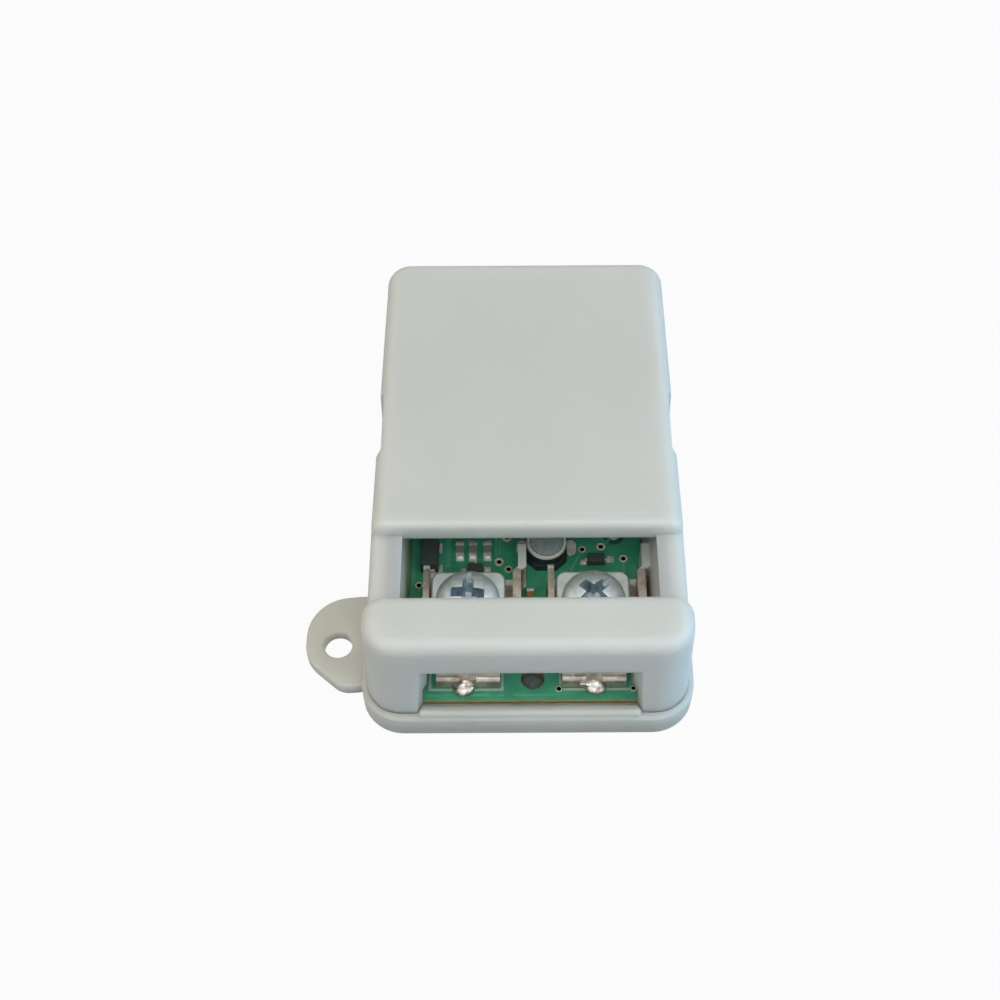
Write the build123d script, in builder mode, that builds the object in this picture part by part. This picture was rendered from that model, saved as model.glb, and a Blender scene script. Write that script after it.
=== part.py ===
from build123d import *
import math
import os

os.makedirs("parts", exist_ok=True)

# Relay output module: a small moulded case with two screw clamp terminals at its front.
# Millimetres. The origin is the middle of the case's underside, X to the right, Y to the back, Z up.
# The photographed front, with the wire entry window, faces -Y.
# A setback is measured from the base's front edge towards the back, an inset from its rear edge forwards.

# Case
case_length = 60.6
case_width = 40.3
case_height = 19.5
rim_height = 4.2
ledge = 0.9
beam_ledge = 0.7
side_ledge = 0.3
base_corner = 5.2
base_step_slant = 0.9
base_bottom_edge = 0.6
base_rim_edge = 0.25
floor_thick = 1.2
draft = 1.5
root = 0.7

# Cover outline at its foot
beam_step = 0.5
rear_step = 0.65
notch_depth = 0.8
notch_setback = 28.9
notch_length = 9.0
notch_round = 0.5
notch_reach = 3.0
cover_rear_corner = 3.4
cover_front_corner = 4.2
cover_edge_round = 1.6
step_edge_round = 0.8
beam_rear_corner = 2.8

# Trough with the upper window, and the beam in front of it
step_setback = 17.8
trough_drop = 2.1
trough_edge_round = 0.8
beam_setback = 8.7
upper_window_margin = 1.5
window_shift = 0.25

# Walls
side_wall = 2.35
cover_roof = 1.8
trough_floor = 0.7
step_wall = 1.4
beam_rear_wall = 1.3
front_wall = 1.3
lintel_wall = 2.1
lintel_rise = 3.8
cavity_corner = 1.5

# Front window
front_window_drop = 5.5
front_window_top_width = 23.85
front_window_foot_width = 25.0
jamb_splay = 1.1
tongue_rise = 0.8
tongue_side_gap = 0.45
tongue_setback = 0.3
tongue_inner = 0.6
tongue_round = 0.6

# Seam between cover and base
lip_thick = 0.7
lip_height = 1.5
lip_gap = 0.1
lip_setback = 6.3

# Snap hooks
front_hook_setback = 23.8
rear_hook_inset = 15.3
hook_width = 5.0
hook_thick = 1.0
hook_rise = 4.8
hook_nose = 0.55
hook_nose_height = 1.5
hook_nose_land = 0.4
hook_gap = 0.2

# Mounting lug
lug_thick = 2.0
lug_overhang = 7.45
lug_setback = 5.4
lug_length = 13.0
lug_slant_length = 4.2
lug_tip_overhang = 2.6
lug_rear_round = 5.5
lug_front_round = 4.4
lug_tip_round = 2.6
lug_hole_overhang = 3.42
lug_hole_back = 6.15
lug_hole_radius = 1.75

# Circuit board
board_side_gap = 1.9
board_front_gap = 0.2
board_rear_gap = 0.55
board_thick = 1.6
board_shift = -0.2
via_radius = 0.35
support_radius = 2.2
peg_hole_radius = 1.45
peg_gap = 0.1
peg_drop = 1.3
peg_x = 0.6
front_peg_setback = 5.5
rear_peg_inset = 7.8
post_radius = 1.5
post_gap = 0.1
support_side_inset = 2.5
middle_support_setback = 34.3
rear_support_inset = 6.3

# Screw clamp terminals
terminal_pitch = 15.2
terminal_middle = 0.4
screw_setback = 12.9
screw_radius = 1.95
screw_hole_gap = 0.5
thread_pitch = 0.7
thread_gap = 0.05
screw_length = 6.0
screw_tip_edge = 0.35
head_radius = 3.85
head_height = 2.75
head_rim = 0.9
head_base_round = 0.25
crown_bands = 5
recess_width = 1.15
recess_length = 4.4
recess_root_width = 0.6
recess_root_length = 1.8
recess_depth = 1.8
slot_width = 0.7
slot_depth = 0.8
slot_turns = {"left": 86, "right": 45}
bracket_thick = 0.8
bracket_rise = 2.1
bracket_gap = 0.05
ear_thick = 0.75
ear_rise = 4.1
ear_offset = 5.1
ear_behind = 5.3
arm_thick = 1.0
arm_front_offset = 5.95
arm_rear_offset = 6.6
arm_behind = 8.4
jog_behind = 4.2
jog_length = 0.6
platform_ahead = 5.0
nose_width = 7.7
nose_ahead = 8.65
skirt_gap = 0.15
skirt_round = 0.7
tab_width = 2.0
leg_length = 1.6
leg_reach = 0.7
leg_gap = 0.1
collar_radius = 3.0
collar_height = 1.0
sheet_round = 0.6
clamp_side_gap = 0.175
clamp_thick = 1.0
wire_gap = 2.4
clamp_corner = 1.3
clamp_edge = 0.2
clamp_bore_gap = 0.08
solder_radius = 1.2
solder_height = 1.35
solder_bands = 4
solder_forward = 0.4

# Relay
relay_x = -6.5
relay_setback = 29.3
relay_length = 20.2
relay_width = 10.2
relay_height = 10.2
relay_standoff = 0.3
standoff_radius = 0.7
relay_wall = 0.6
relay_base_thick = 1.4
relay_fit = 0.05
relay_corner = 0.6
relay_edge = 0.4
coil_setback = 6.6
coil_end_space = 9.2
coil_drop = 3.7
coil_margin = 0.8
bobbin_width = 7.2
bobbin_flange_thick = 0.6
bobbin_tube_radius = 1.7
bobbin_foot_width = 4.0
bobbin_gap = 0.2
bobbin_end_gap = 0.1
core_radius = 1.25
pole_thick = 0.6
yoke_thick = 0.8
yoke_gap = 0.7
armature_thick = 0.8
armature_width = 5.4
armature_rise = 0.15
air_gap = 0.05
open_angle = 6.0
spring_thick = 0.2
spring_width = 3.0
spring_rise = 0.3
spring_drop = 0.4
contact_radius = 0.9
contact_rise = 1.1
contact_long = 0.85
fixed_strip_thick = 0.35
fixed_contact_long = 0.15
fixed_strip_width = 3.0
fixed_strip_rise = 1.7
pin_radius = 0.35
pin_inset = 1.4
pin_head = 0.2

# Small parts on the board
package_standoff = 0.1
package_taper = 4
inductor_x = 2.5
inductor_setback = 23.3
inductor_radius = 2.5
inductor_height = 3.0
inductor_base_height = 1.3
inductor_base_size = 5.2
inductor_base_corner = 1.3
inductor_edge = 0.3
diode_x = -12.3
diode_setback = 22.6
diode_width = 2.3
diode_length = 4.3
diode_height = 2.1
diode_tab = 0.25
diode_tab_width = 1.4
diode_tab_rise = 1.05
diode_tab_reach = 0.5
resistor_places = [-8.5, -6.85, -5.0]
resistor_setback = 23.8
resistor_width = 1.1
resistor_length = 2.0
resistor_height = 0.5
resistor_cap = 0.45
chip_skin = 0.05
transistor_x = -6.5
transistor_setback = 20.8
transistor_width = 1.95
transistor_length = 1.3
transistor_height = 1.0
transistor_lead_offset = 0.6
lead_thick = 0.15
lead_width = 0.4
lead_reach = 0.55
lead_foot = 0.45
signal_diode_x = 8.8
signal_diode_setback = 22.1
signal_diode_width = 2.2
signal_diode_length = 1.4
signal_diode_height = 1.1
ceramic_x = 0.4
ceramic_setback = 16.7
ceramic_width = 1.0
ceramic_length = 2.0
ceramic_height = 0.9
ceramic_cap = 0.4
chip_x = 8.0
chip_rear_inset = 21.3
chip_width = 5.0
chip_length = 6.5
chip_height = 1.3
chip_lead_count = 8
chip_lead_pitch = 0.65
crystal_x = 8.0
crystal_rear_inset = 28.8
crystal_width = 5.0
crystal_length = 3.2
crystal_height = 1.2
crystal_corner = 0.4
crystal_edge = 0.15
capacitor_x = 9.5
capacitor_rear_inset = 11.8
capacitor_radius = 3.1
capacitor_height = 5.8
capacitor_base_height = 1.0
capacitor_base_size = 6.6
capacitor_base_corner = 1.2
capacitor_edge = 0.35

# Plated through holes in view, as places across the board and setbacks along it
via_places = [
    (-2.5, 25.8),
    (-3.5, 22.1),
    (-2.3, 21.0),
    (-13.6, 18.7),
    (7.1, 23.9),
    (9.5, 24.3),
    (11.2, 26.0),
    (12.3, 22.5),
    (3.8, 4.2),
    (12.8, 4.3),
]

# Worked out from the sizes above
front_edge = -case_length / 2
rear_edge = case_length / 2
half_width = case_width / 2
foot_front = front_edge + ledge
foot_rear = rear_edge - ledge
beam_half = half_width - beam_ledge
front_half = beam_half - beam_step
rear_half = front_half - rear_step
notch_half = front_half - notch_depth
notch_front = front_edge + notch_setback
notch_rear = notch_front + notch_length
step_face = front_edge + step_setback
beam_rear = front_edge + beam_setback
trough_height = case_height - trough_drop
front_window_top = case_height - front_window_drop
cover_rise = case_height - rim_height
lean = math.tan(math.radians(draft))
cavity_half = front_half - side_wall
cavity_front = foot_front + front_wall
cavity_rear = foot_rear - side_wall
cavity_length = cavity_rear - cavity_front
cavity_middle = (cavity_rear + cavity_front) / 2
upper_window_width = 2 * (cavity_half - upper_window_margin)
roof_under = case_height - cover_roof
trough_under = trough_height - trough_floor
lintel_foot = rim_height + lintel_rise
beam_rear_foot = beam_rear + lean * (trough_height - rim_height)
tongue_width = front_window_foot_width + 2 * (jamb_splay - tongue_side_gap)
lip_front = front_edge + lip_setback
hook_places = [front_edge + front_hook_setback, rear_edge - rear_hook_inset]
hook_top = rim_height + hook_rise
lug_front = front_edge + lug_setback
lug_rear = lug_front + lug_length
lug_shoulder = lug_front + lug_slant_length
lug_reach = half_width + lug_overhang
lug_tip_x = half_width + lug_tip_overhang
lug_hole_x = -half_width - lug_hole_overhang
lug_hole_y = lug_front + lug_hole_back
board_top = rim_height
board_under = board_top - board_thick
board_width = 2 * (cavity_half - board_side_gap)
board_front = cavity_front + board_front_gap
board_rear = cavity_rear - board_rear_gap
peg_places = [front_edge + front_peg_setback, rear_edge - rear_peg_inset]
support_x = board_width / 2 - support_side_inset
rear_support_y = rear_edge - rear_support_inset
support_rows = [peg_places[0], front_edge + middle_support_setback, rear_support_y]
terminal_places = {
    "left": terminal_middle - terminal_pitch / 2,
    "right": terminal_middle + terminal_pitch / 2,
}
screw_y = front_edge + screw_setback
ear_rear = screw_y + ear_behind
arm_rear_end = screw_y + arm_behind
arm_jog_front = screw_y + jog_behind
arm_jog_rear = arm_jog_front + jog_length
platform_front = screw_y - platform_ahead
nose_front = screw_y - nose_ahead
bracket_height = board_top + bracket_rise
ear_height = bracket_height + ear_rise
leg_foot = board_under - leg_reach
clamp_size = 2 * (ear_offset - ear_thick / 2 - clamp_side_gap)
clamp_height = bracket_height + wire_gap
clamp_top = clamp_height + clamp_thick
head_foot = clamp_top + bracket_gap
head_top = head_foot + head_height
tab_y = nose_front + bracket_thick / 2
relay_front = front_edge + relay_setback
relay_floor = board_top + relay_standoff
relay_middle = relay_front + relay_length / 2
relay_top = relay_floor + relay_height
relay_base_top = relay_floor + relay_base_thick
relay_inner_width = relay_width - 2 * relay_wall
pin_side = relay_width / 2 - pin_inset - pin_radius
coil_front = relay_front + coil_setback
coil_length = relay_length - coil_end_space
yoke_top = relay_top - relay_wall - yoke_gap
coil_axis_height = yoke_top - coil_drop
contact_height = relay_base_top + contact_rise
armature_foot = contact_height + contact_radius
bobbin_foot = relay_base_top + pin_head
coil_radius = coil_axis_height - bobbin_foot - coil_margin
pole_radius = coil_axis_height - armature_foot
yoke_width = 2 * (pin_side - pin_radius)
pole_face = coil_front - bobbin_flange_thick - pole_thick
yoke_rear = coil_front + coil_length + bobbin_flange_thick + bobbin_end_gap
hinge_y = pole_face
hinge_z = yoke_top - yoke_thick
spring_face = pole_face - air_gap - armature_thick
inductor_y = front_edge + inductor_setback
diode_y = front_edge + diode_setback
resistor_y = front_edge + resistor_setback
transistor_y = front_edge + transistor_setback
signal_diode_y = front_edge + signal_diode_setback
ceramic_y = front_edge + ceramic_setback
chip_y = rear_edge - chip_rear_inset
crystal_y = rear_edge - crystal_rear_inset
capacitor_y = rear_edge - capacitor_rear_inset


def write(piece, node):
    """Names a finished piece after its node and writes it."""
    piece.label = node
    export_step(piece, f"parts/{node}.step")


def block(x0, x1, y0, y1, z0, z1, mode=Mode.ADD):
    """A box between two corners, added to the part being built or cut from it."""
    with Locations(((x0 + x1) / 2, (y0 + y1) / 2, (z0 + z1) / 2)):
        Box(x1 - x0, y1 - y0, z1 - z0, mode=mode)


def disc(x, y, z0, z1, radius, mode=Mode.ADD):
    """An upright cylinder at x, y between two heights."""
    with Locations((x, y, (z0 + z1) / 2)):
        Cylinder(radius, z1 - z0, mode=mode)


def rod(x, z, y0, y1, radius, mode=Mode.ADD):
    """A cylinder lying along Y."""
    with Locations(Location((x, (y0 + y1) / 2, z), (90, 0, 0))):
        Cylinder(radius, y1 - y0, mode=mode)


def mirrored_outline(points, middle=0):
    """A closed outline in X and Y, even about its middle, from the right half's points, front to back."""
    right = [(middle + x, y) for x, y in points]
    left = [(middle - x, y) for x, y in reversed(points)]
    with BuildLine() as outline:
        Polyline(*right, *left, close=True)
    make_face(outline.edges())


def dome_profile(x, foot, radius, height, bands):
    """Points of a quarter ellipse beside the axis at x, from its foot up to its top, in even turns."""
    turns = [math.pi / 2 * band / bands for band in range(bands + 1)]
    return [(x + radius * math.cos(turn), foot + height * math.sin(turn)) for turn in turns]


# The base tray carries everything: floor, rim, lug, board supports, pegs, hooks and the front tongue
def base_tray():
    with BuildPart() as tray:
        base_side = front_half + side_ledge
        with BuildSketch() as base_plan:
            mirrored_outline(
                [
                    (half_width, front_edge),
                    (half_width, beam_rear_foot - base_step_slant),
                    (base_side, beam_rear_foot),
                    (rear_half + side_ledge, rear_edge),
                ]
            )
            fillet(base_plan.vertices().group_by(Axis.Y)[-1], cover_rear_corner + ledge)
            fillet(base_plan.vertices().group_by(Axis.Y)[0], base_corner)
        extrude(amount=rim_height)
        chamfer(tray.faces().sort_by(Axis.Z)[0].edges(), base_bottom_edge)
        chamfer(tray.faces().sort_by(Axis.Z)[-1].edges(), base_rim_edge)

        lug_root = -half_width + ledge + root
        with BuildSketch():
            with BuildLine():
                FilletPolyline(
                    (lug_root, lug_rear),
                    (-lug_reach, lug_rear),
                    (-lug_reach, lug_shoulder),
                    (-lug_tip_x, lug_front),
                    (lug_root, lug_front + ledge),
                    radius=[lug_rear_round, lug_front_round, lug_tip_round],
                )
                Line((lug_root, lug_front + ledge), (lug_root, lug_rear))
            make_face()
        extrude(amount=lug_thick)
        disc(lug_hole_x, lug_hole_y, 0, lug_thick, lug_hole_radius, mode=Mode.SUBTRACT)
        for side in (-1, 1):
            notch_inner = notch_half + side_ledge
            ends = sorted([side * notch_inner, side * (notch_inner + notch_reach)])
            block(*ends, notch_front, notch_rear, 0, rim_height, Mode.SUBTRACT)

        with BuildSketch(Plane.XY.offset(floor_thick)):
            with Locations((0, cavity_middle)):
                RectangleRounded(2 * cavity_half, cavity_length, cavity_corner)
        extrude(amount=rim_height, mode=Mode.SUBTRACT)

        tongue_rear = foot_front + tongue_inner
        tongue_splay = jamb_splay / lintel_wall * tongue_inner
        with BuildSketch(Plane.XY.offset(floor_thick)):
            mirrored_outline(
                [
                    (tongue_width / 2, front_edge + tongue_setback),
                    (tongue_width / 2, foot_front),
                    (tongue_width / 2 - tongue_splay, tongue_rear),
                ],
                window_shift,
            )
        extrude(amount=rim_height + tongue_rise - floor_thick)
        tongue_top = tray.faces().sort_by(Axis.Z)[-1]
        fillet(tongue_top.edges().sort_by(Axis.Y)[0], tongue_round)

        with BuildSketch(Plane.XY.offset(floor_thick)):
            with Locations((0, (lip_front + cavity_rear + lip_thick) / 2)):
                Rectangle(2 * (cavity_half + lip_thick), cavity_rear + lip_thick - lip_front)
            with Locations((0, (lip_front + cavity_rear) / 2)):
                Rectangle(2 * cavity_half, cavity_rear - lip_front, mode=Mode.SUBTRACT)
        extrude(amount=rim_height + lip_height - floor_thick)

        stand_foot = floor_thick - root
        for peg_y in peg_places:
            disc(peg_x, peg_y, stand_foot, board_under, support_radius)
            disc(peg_x, peg_y, stand_foot, board_top - peg_drop, peg_hole_radius - peg_gap)
        for x in (-support_x, support_x):
            for y in support_rows:
                disc(x, y, stand_foot, board_under, post_radius)

        for side in (-1, 1):
            for hook_y in hook_places:
                outer = cavity_half - hook_gap
                nose = cavity_half + hook_nose
                nose_foot = hook_top - hook_nose_height
                with BuildSketch(Plane.XZ.offset(-hook_y - hook_width / 2)):
                    with BuildLine():
                        Polyline(
                            (side * (outer - hook_thick), stand_foot),
                            (side * outer, stand_foot),
                            (side * outer, nose_foot),
                            (side * nose, nose_foot),
                            (side * nose, nose_foot + hook_nose_land),
                            (side * outer, hook_top),
                            (side * (outer - hook_thick), hook_top),
                            close=True,
                        )
                    make_face()
                extrude(amount=hook_width)
    write(tray.part, "base_tray")


def cover_shell():
    """Outer form of the cover: the high rear body, the trough in front of it and the beam."""
    overrun = 4.0
    with BuildPart() as body:
        with BuildSketch(Plane.XY.offset(rim_height)) as rear_plan:
            mirrored_outline([(front_half, step_face - overrun), (rear_half, foot_rear)])
            fillet(rear_plan.vertices().group_by(Axis.Y)[-1], cover_rear_corner)
        extrude(amount=cover_rise, taper=draft)
        top_edges = body.faces().sort_by(Axis.Z)[-1].edges()
        fillet(top_edges.sort_by(Axis.Y)[1:], cover_edge_round)
        block(-half_width, half_width, front_edge, step_face, rim_height, case_height, Mode.SUBTRACT)
        step_edges = body.faces().sort_by(Axis.Y)[0].edges()
        fillet(step_edges.sort_by(Axis.Z)[1:], step_edge_round)
    with BuildPart() as beam:
        with BuildSketch(Plane.XY.offset(rim_height)) as beam_plan:
            mirrored_outline([(beam_half, foot_front), (beam_half, beam_rear_foot)])
            fillet(beam_plan.vertices().group_by(Axis.Y)[-1], beam_rear_corner)
            fillet(beam_plan.vertices().group_by(Axis.Y)[0], cover_front_corner)
        extrude(amount=cover_rise, taper=draft)
        fillet(beam.faces().sort_by(Axis.Z)[-1].edges(), cover_edge_round)
    with BuildPart() as trough:
        with BuildSketch(Plane.XY.offset(rim_height)):
            mirrored_outline([(front_half, beam_rear_foot - overrun), (front_half, step_face + overrun)])
        extrude(amount=trough_height - rim_height, taper=draft)
        side_edges = trough.faces().sort_by(Axis.Z)[-1].edges().filter_by(Axis.Y)
        fillet(side_edges, trough_edge_round)
    return body.part + beam.part + trough.part


# The cover is one moulding with two windows, side notches, snap recesses and two hold-down posts
def top_cover():
    with BuildPart() as cover:
        add(cover_shell())

        for side in (-1, 1):
            with BuildSketch(Plane.XY.offset(rim_height)) as notch_plan:
                with Locations((side * (notch_half + notch_reach / 2), (notch_front + notch_rear) / 2)):
                    Rectangle(notch_reach, notch_rear - notch_front)
                inner = notch_plan.vertices().sort_by(Axis.X)
                fillet(inner[:2] if side > 0 else inner[2:], notch_round)
            extrude(amount=cover_rise, taper=-draft, mode=Mode.SUBTRACT)

        with BuildSketch(Plane.XY.offset(rim_height)):
            with Locations((0, cavity_middle)):
                RectangleRounded(2 * cavity_half, cavity_length, cavity_corner)
        extrude(amount=lintel_foot - rim_height, mode=Mode.SUBTRACT)
        lintel_inner = foot_front + lintel_wall
        block(-cavity_half, cavity_half, lintel_inner, cavity_rear, lintel_foot, trough_under, Mode.SUBTRACT)
        body_inner = step_face + step_wall
        block(-cavity_half, cavity_half, body_inner, cavity_rear, trough_under, roof_under, Mode.SUBTRACT)
        beam_inner = beam_rear - beam_rear_wall
        block(-cavity_half, cavity_half, lintel_inner, beam_inner, trough_under, roof_under, Mode.SUBTRACT)

        window_half = upper_window_width / 2
        block(
            window_shift - window_half,
            window_shift + window_half,
            beam_rear,
            step_face,
            trough_under,
            trough_height + root,
            Mode.SUBTRACT,
        )

        with BuildSketch(Plane.XZ.offset(-foot_front)):
            front_window_outline(jamb_splay)
        with BuildSketch(Plane.XZ.offset(-foot_front - lintel_wall)):
            front_window_outline(0)
        loft(mode=Mode.SUBTRACT)

        rebate = cavity_half + lip_thick + lip_gap
        with BuildSketch(Plane.XY.offset(rim_height)):
            rebate_rear = cavity_rear + lip_thick + lip_gap
            rebate_front = lip_front - lip_gap
            with Locations((0, (rebate_rear + rebate_front) / 2)):
                Rectangle(2 * rebate, rebate_rear - rebate_front)
        extrude(amount=lip_height + lip_gap, mode=Mode.SUBTRACT)

        recess = hook_nose + hook_gap
        recess_height = hook_nose_height + 2 * hook_gap
        for side in (-1, 1):
            for hook_y in hook_places:
                with Locations((side * (cavity_half + recess / 2), hook_y, hook_top - hook_nose_height / 2)):
                    Box(recess, hook_width + 2 * hook_gap, recess_height, mode=Mode.SUBTRACT)

        for x in (-support_x, support_x):
            disc(x, rear_support_y, board_top + post_gap, roof_under + root, post_radius)
    write(cover.part, "top_cover")


def front_window_outline(splay):
    """The front window at one depth in the wall: wider at its foot, and wider by the splay."""
    top = front_window_top_width / 2 + splay
    foot = front_window_foot_width / 2 + splay
    with BuildLine() as outline:
        Polyline(
            (window_shift - foot, rim_height - root),
            (window_shift + foot, rim_height - root),
            (window_shift + top, front_window_top),
            (window_shift - top, front_window_top),
            close=True,
        )
    make_face(outline.edges())


# The circuit board, with its peg holes, screw clearance holes, leg slots and plated holes
def circuit_board():
    with BuildPart() as board:
        block(
            board_shift - board_width / 2,
            board_shift + board_width / 2,
            board_front,
            board_rear,
            board_under,
            board_top,
        )
        for peg_y in peg_places:
            disc(peg_x, peg_y, board_under, board_top, peg_hole_radius, mode=Mode.SUBTRACT)
        for x in terminal_places.values():
            disc(x, screw_y, board_under, board_top, screw_radius + screw_hole_gap, mode=Mode.SUBTRACT)
            for leg in terminal_legs(x, leg_gap):
                block(*leg, board_under, board_top, Mode.SUBTRACT)
        for x, setback in via_places:
            disc(x, front_edge + setback, board_under, board_top, via_radius, mode=Mode.SUBTRACT)
        for x, y in relay_pin_places():
            disc(x, y, board_under, board_top, pin_radius + leg_gap, mode=Mode.SUBTRACT)
    write(board.part, "circuit_board")


def terminal_legs(x, gap):
    """Plan rectangles of a bracket's three solder legs, grown by a gap on each side."""
    legs = [
        (x, tab_width, nose_front, nose_front + bracket_thick),
        (x - ear_offset, ear_thick, ear_rear - leg_length, ear_rear),
        (x + arm_rear_offset, arm_thick, arm_rear_end - leg_length, arm_rear_end),
    ]
    return [(mid - wide / 2 - gap, mid + wide / 2 + gap, y0 - gap, y1 + gap) for mid, wide, y0, y1 in legs]


# Each bracket is bent from sheet: a threaded platform between a straight ear and a jogged arm
def terminal_bracket(side, x):
    ear_inner = x - ear_offset + ear_thick / 2
    ear_outer = ear_inner - ear_thick
    arm_inner = x + arm_front_offset - arm_thick / 2
    arm_outer = arm_inner + arm_thick
    platform_under = bracket_height - bracket_thick
    nose_left = x - nose_width / 2
    nose_right = x + nose_width / 2
    with BuildPart() as bracket:
        block(ear_outer, arm_outer, platform_front, ear_rear, platform_under, bracket_height)
        block(nose_left, nose_right, nose_front, platform_front, platform_under, bracket_height)
        skirt_inner = nose_front + bracket_thick
        block(nose_left, nose_right, nose_front, skirt_inner, board_top + skirt_gap, bracket_height)
        bends = bracket.edges().filter_by(Axis.X).group_by(Axis.Y)[0]
        fillet(bends.sort_by(Axis.Z)[-1], skirt_round)
        block(ear_outer, ear_inner, platform_front, ear_rear, platform_under, ear_height)
        with BuildSketch(Plane.XY.offset(platform_under)):
            jog = arm_rear_offset - arm_front_offset
            with BuildLine():
                Polyline(
                    (arm_inner, platform_front),
                    (arm_outer, platform_front),
                    (arm_outer, arm_jog_front),
                    (arm_outer + jog, arm_jog_rear),
                    (arm_outer + jog, arm_rear_end),
                    (arm_inner + jog, arm_rear_end),
                    (arm_inner + jog, arm_jog_rear),
                    (arm_inner, arm_jog_front),
                    close=True,
                )
            make_face()
        extrude(amount=ear_height - platform_under)
        tops = bracket.edges().filter_by(Axis.X).group_by(Axis.Z)[-1]
        fillet(tops, sheet_round)
        disc(x, screw_y, platform_under - collar_height, platform_under, collar_radius)
        disc(x, screw_y, 0, ear_height, screw_radius + thread_gap, mode=Mode.SUBTRACT)
        for x0, x1, y0, y1 in terminal_legs(x, 0):
            block(x0, x1, y0, y1, leg_foot, bracket_height)
    write(bracket.part, f"{side}_terminal_bracket")


# The square clamp plate hangs on the screw and rises and falls with it
def clamp_plate(side, x):
    with BuildPart() as plate:
        with BuildSketch(Plane.XY.offset(clamp_height)):
            with Locations((x, screw_y)):
                RectangleRounded(clamp_size, clamp_size, clamp_corner)
                Circle(screw_radius + clamp_bore_gap, mode=Mode.SUBTRACT)
        extrude(amount=clamp_thick)
        chamfer(plate.faces().sort_by(Axis.Z)[-1].outer_wire().edges(), clamp_edge)
    write(plate.part, f"{side}_clamp_plate")


# M4 pan head screw with a slot and a cross recess. Its crown is drawn in bands.
def terminal_screw(side, x):
    tip = head_foot - screw_length
    rim_top = head_foot + head_rim
    with BuildPart() as screw:
        with BuildSketch(Plane.XZ.offset(-screw_y)):
            with BuildLine():
                Polyline(
                    (x, tip),
                    (x + screw_radius - screw_tip_edge, tip),
                    (x + screw_radius, tip + screw_tip_edge),
                    (x + screw_radius, head_foot),
                    (x + head_radius - head_base_round, head_foot),
                    (x + head_radius, head_foot + head_base_round),
                    *dome_profile(x, rim_top, head_radius, head_top - rim_top, crown_bands),
                    close=True,
                )
            make_face()
        revolve(axis=Axis((x, screw_y, 0), (0, 0, 1)))
        with BuildSketch(Plane.XY.offset(head_top - slot_depth)):
            with Locations((x, screw_y)):
                Rectangle(2 * head_radius, slot_width, rotation=slot_turns[side])
        extrude(amount=slot_depth, mode=Mode.SUBTRACT)
        for turn in (slot_turns[side], slot_turns[side] + 90):
            with BuildSketch(Plane.XY.offset(head_top)) as mouth:
                with Locations((x, screw_y)):
                    Rectangle(recess_length, recess_width, rotation=turn)
            with BuildSketch(Plane.XY.offset(head_top - recess_depth)) as bottom:
                with Locations((x, screw_y)):
                    Rectangle(recess_root_length, recess_root_width, rotation=turn)
            loft([mouth.sketch, bottom.sketch], mode=Mode.SUBTRACT)
    write(screw.part, f"{side}_terminal_screw")


# Solder on the front tab of each bracket, two separate domes in one node
def terminal_solder():
    domes = []
    dome_y = tab_y - solder_forward
    for x in terminal_places.values():
        with BuildPart() as dome:
            with BuildSketch(Plane.XZ.offset(-dome_y)):
                with BuildLine():
                    profile = dome_profile(x, board_top, solder_radius, solder_height, solder_bands)
                    Polyline((x, board_top), *profile, close=True)
                make_face()
            revolve(axis=Axis((x, dome_y, 0), (0, 0, 1)))
            block(*terminal_legs(x, 0)[0], board_top, bracket_height, Mode.SUBTRACT)
            left = x - solder_radius
            right = x + solder_radius
            block(left, right, nose_front, platform_front, board_top, bracket_height, Mode.SUBTRACT)
        domes += [piece for piece in dome.part.solids()]
    write(Compound(children=domes), "terminal_solder")


def relay_pin_places():
    """Plan places of the relay's pins: two for the coil at its rear, two for the contacts in front."""
    rear = relay_front + relay_length - pin_inset
    front = relay_front + pin_inset
    return [(relay_x + x, y) for x in (-pin_side, pin_side) for y in (front, rear)]


def relay_shell():
    with BuildPart() as base:
        block(
            relay_x - relay_inner_width / 2 + relay_fit,
            relay_x + relay_inner_width / 2 - relay_fit,
            relay_front + relay_wall + relay_fit,
            relay_front + relay_length - relay_wall - relay_fit,
            relay_floor,
            relay_base_top,
        )
        for x, y in relay_pin_places():
            disc(x, y, board_top, relay_floor, standoff_radius)
            disc(x, y, board_top, relay_base_top, pin_radius, mode=Mode.SUBTRACT)
    write(base.part, "relay_base")

    with BuildPart() as case:
        with BuildSketch(Plane.XY.offset(relay_floor)):
            with Locations((relay_x, relay_middle)):
                RectangleRounded(relay_width, relay_length, relay_corner)
        extrude(amount=relay_height)
        chamfer(case.faces().sort_by(Axis.Z)[-1].edges(), relay_edge)
        block(
            relay_x - relay_inner_width / 2,
            relay_x + relay_inner_width / 2,
            relay_front + relay_wall,
            relay_front + relay_length - relay_wall,
            relay_floor,
            relay_top - relay_wall,
            Mode.SUBTRACT,
        )
    write(case.part, "relay_case")


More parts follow.
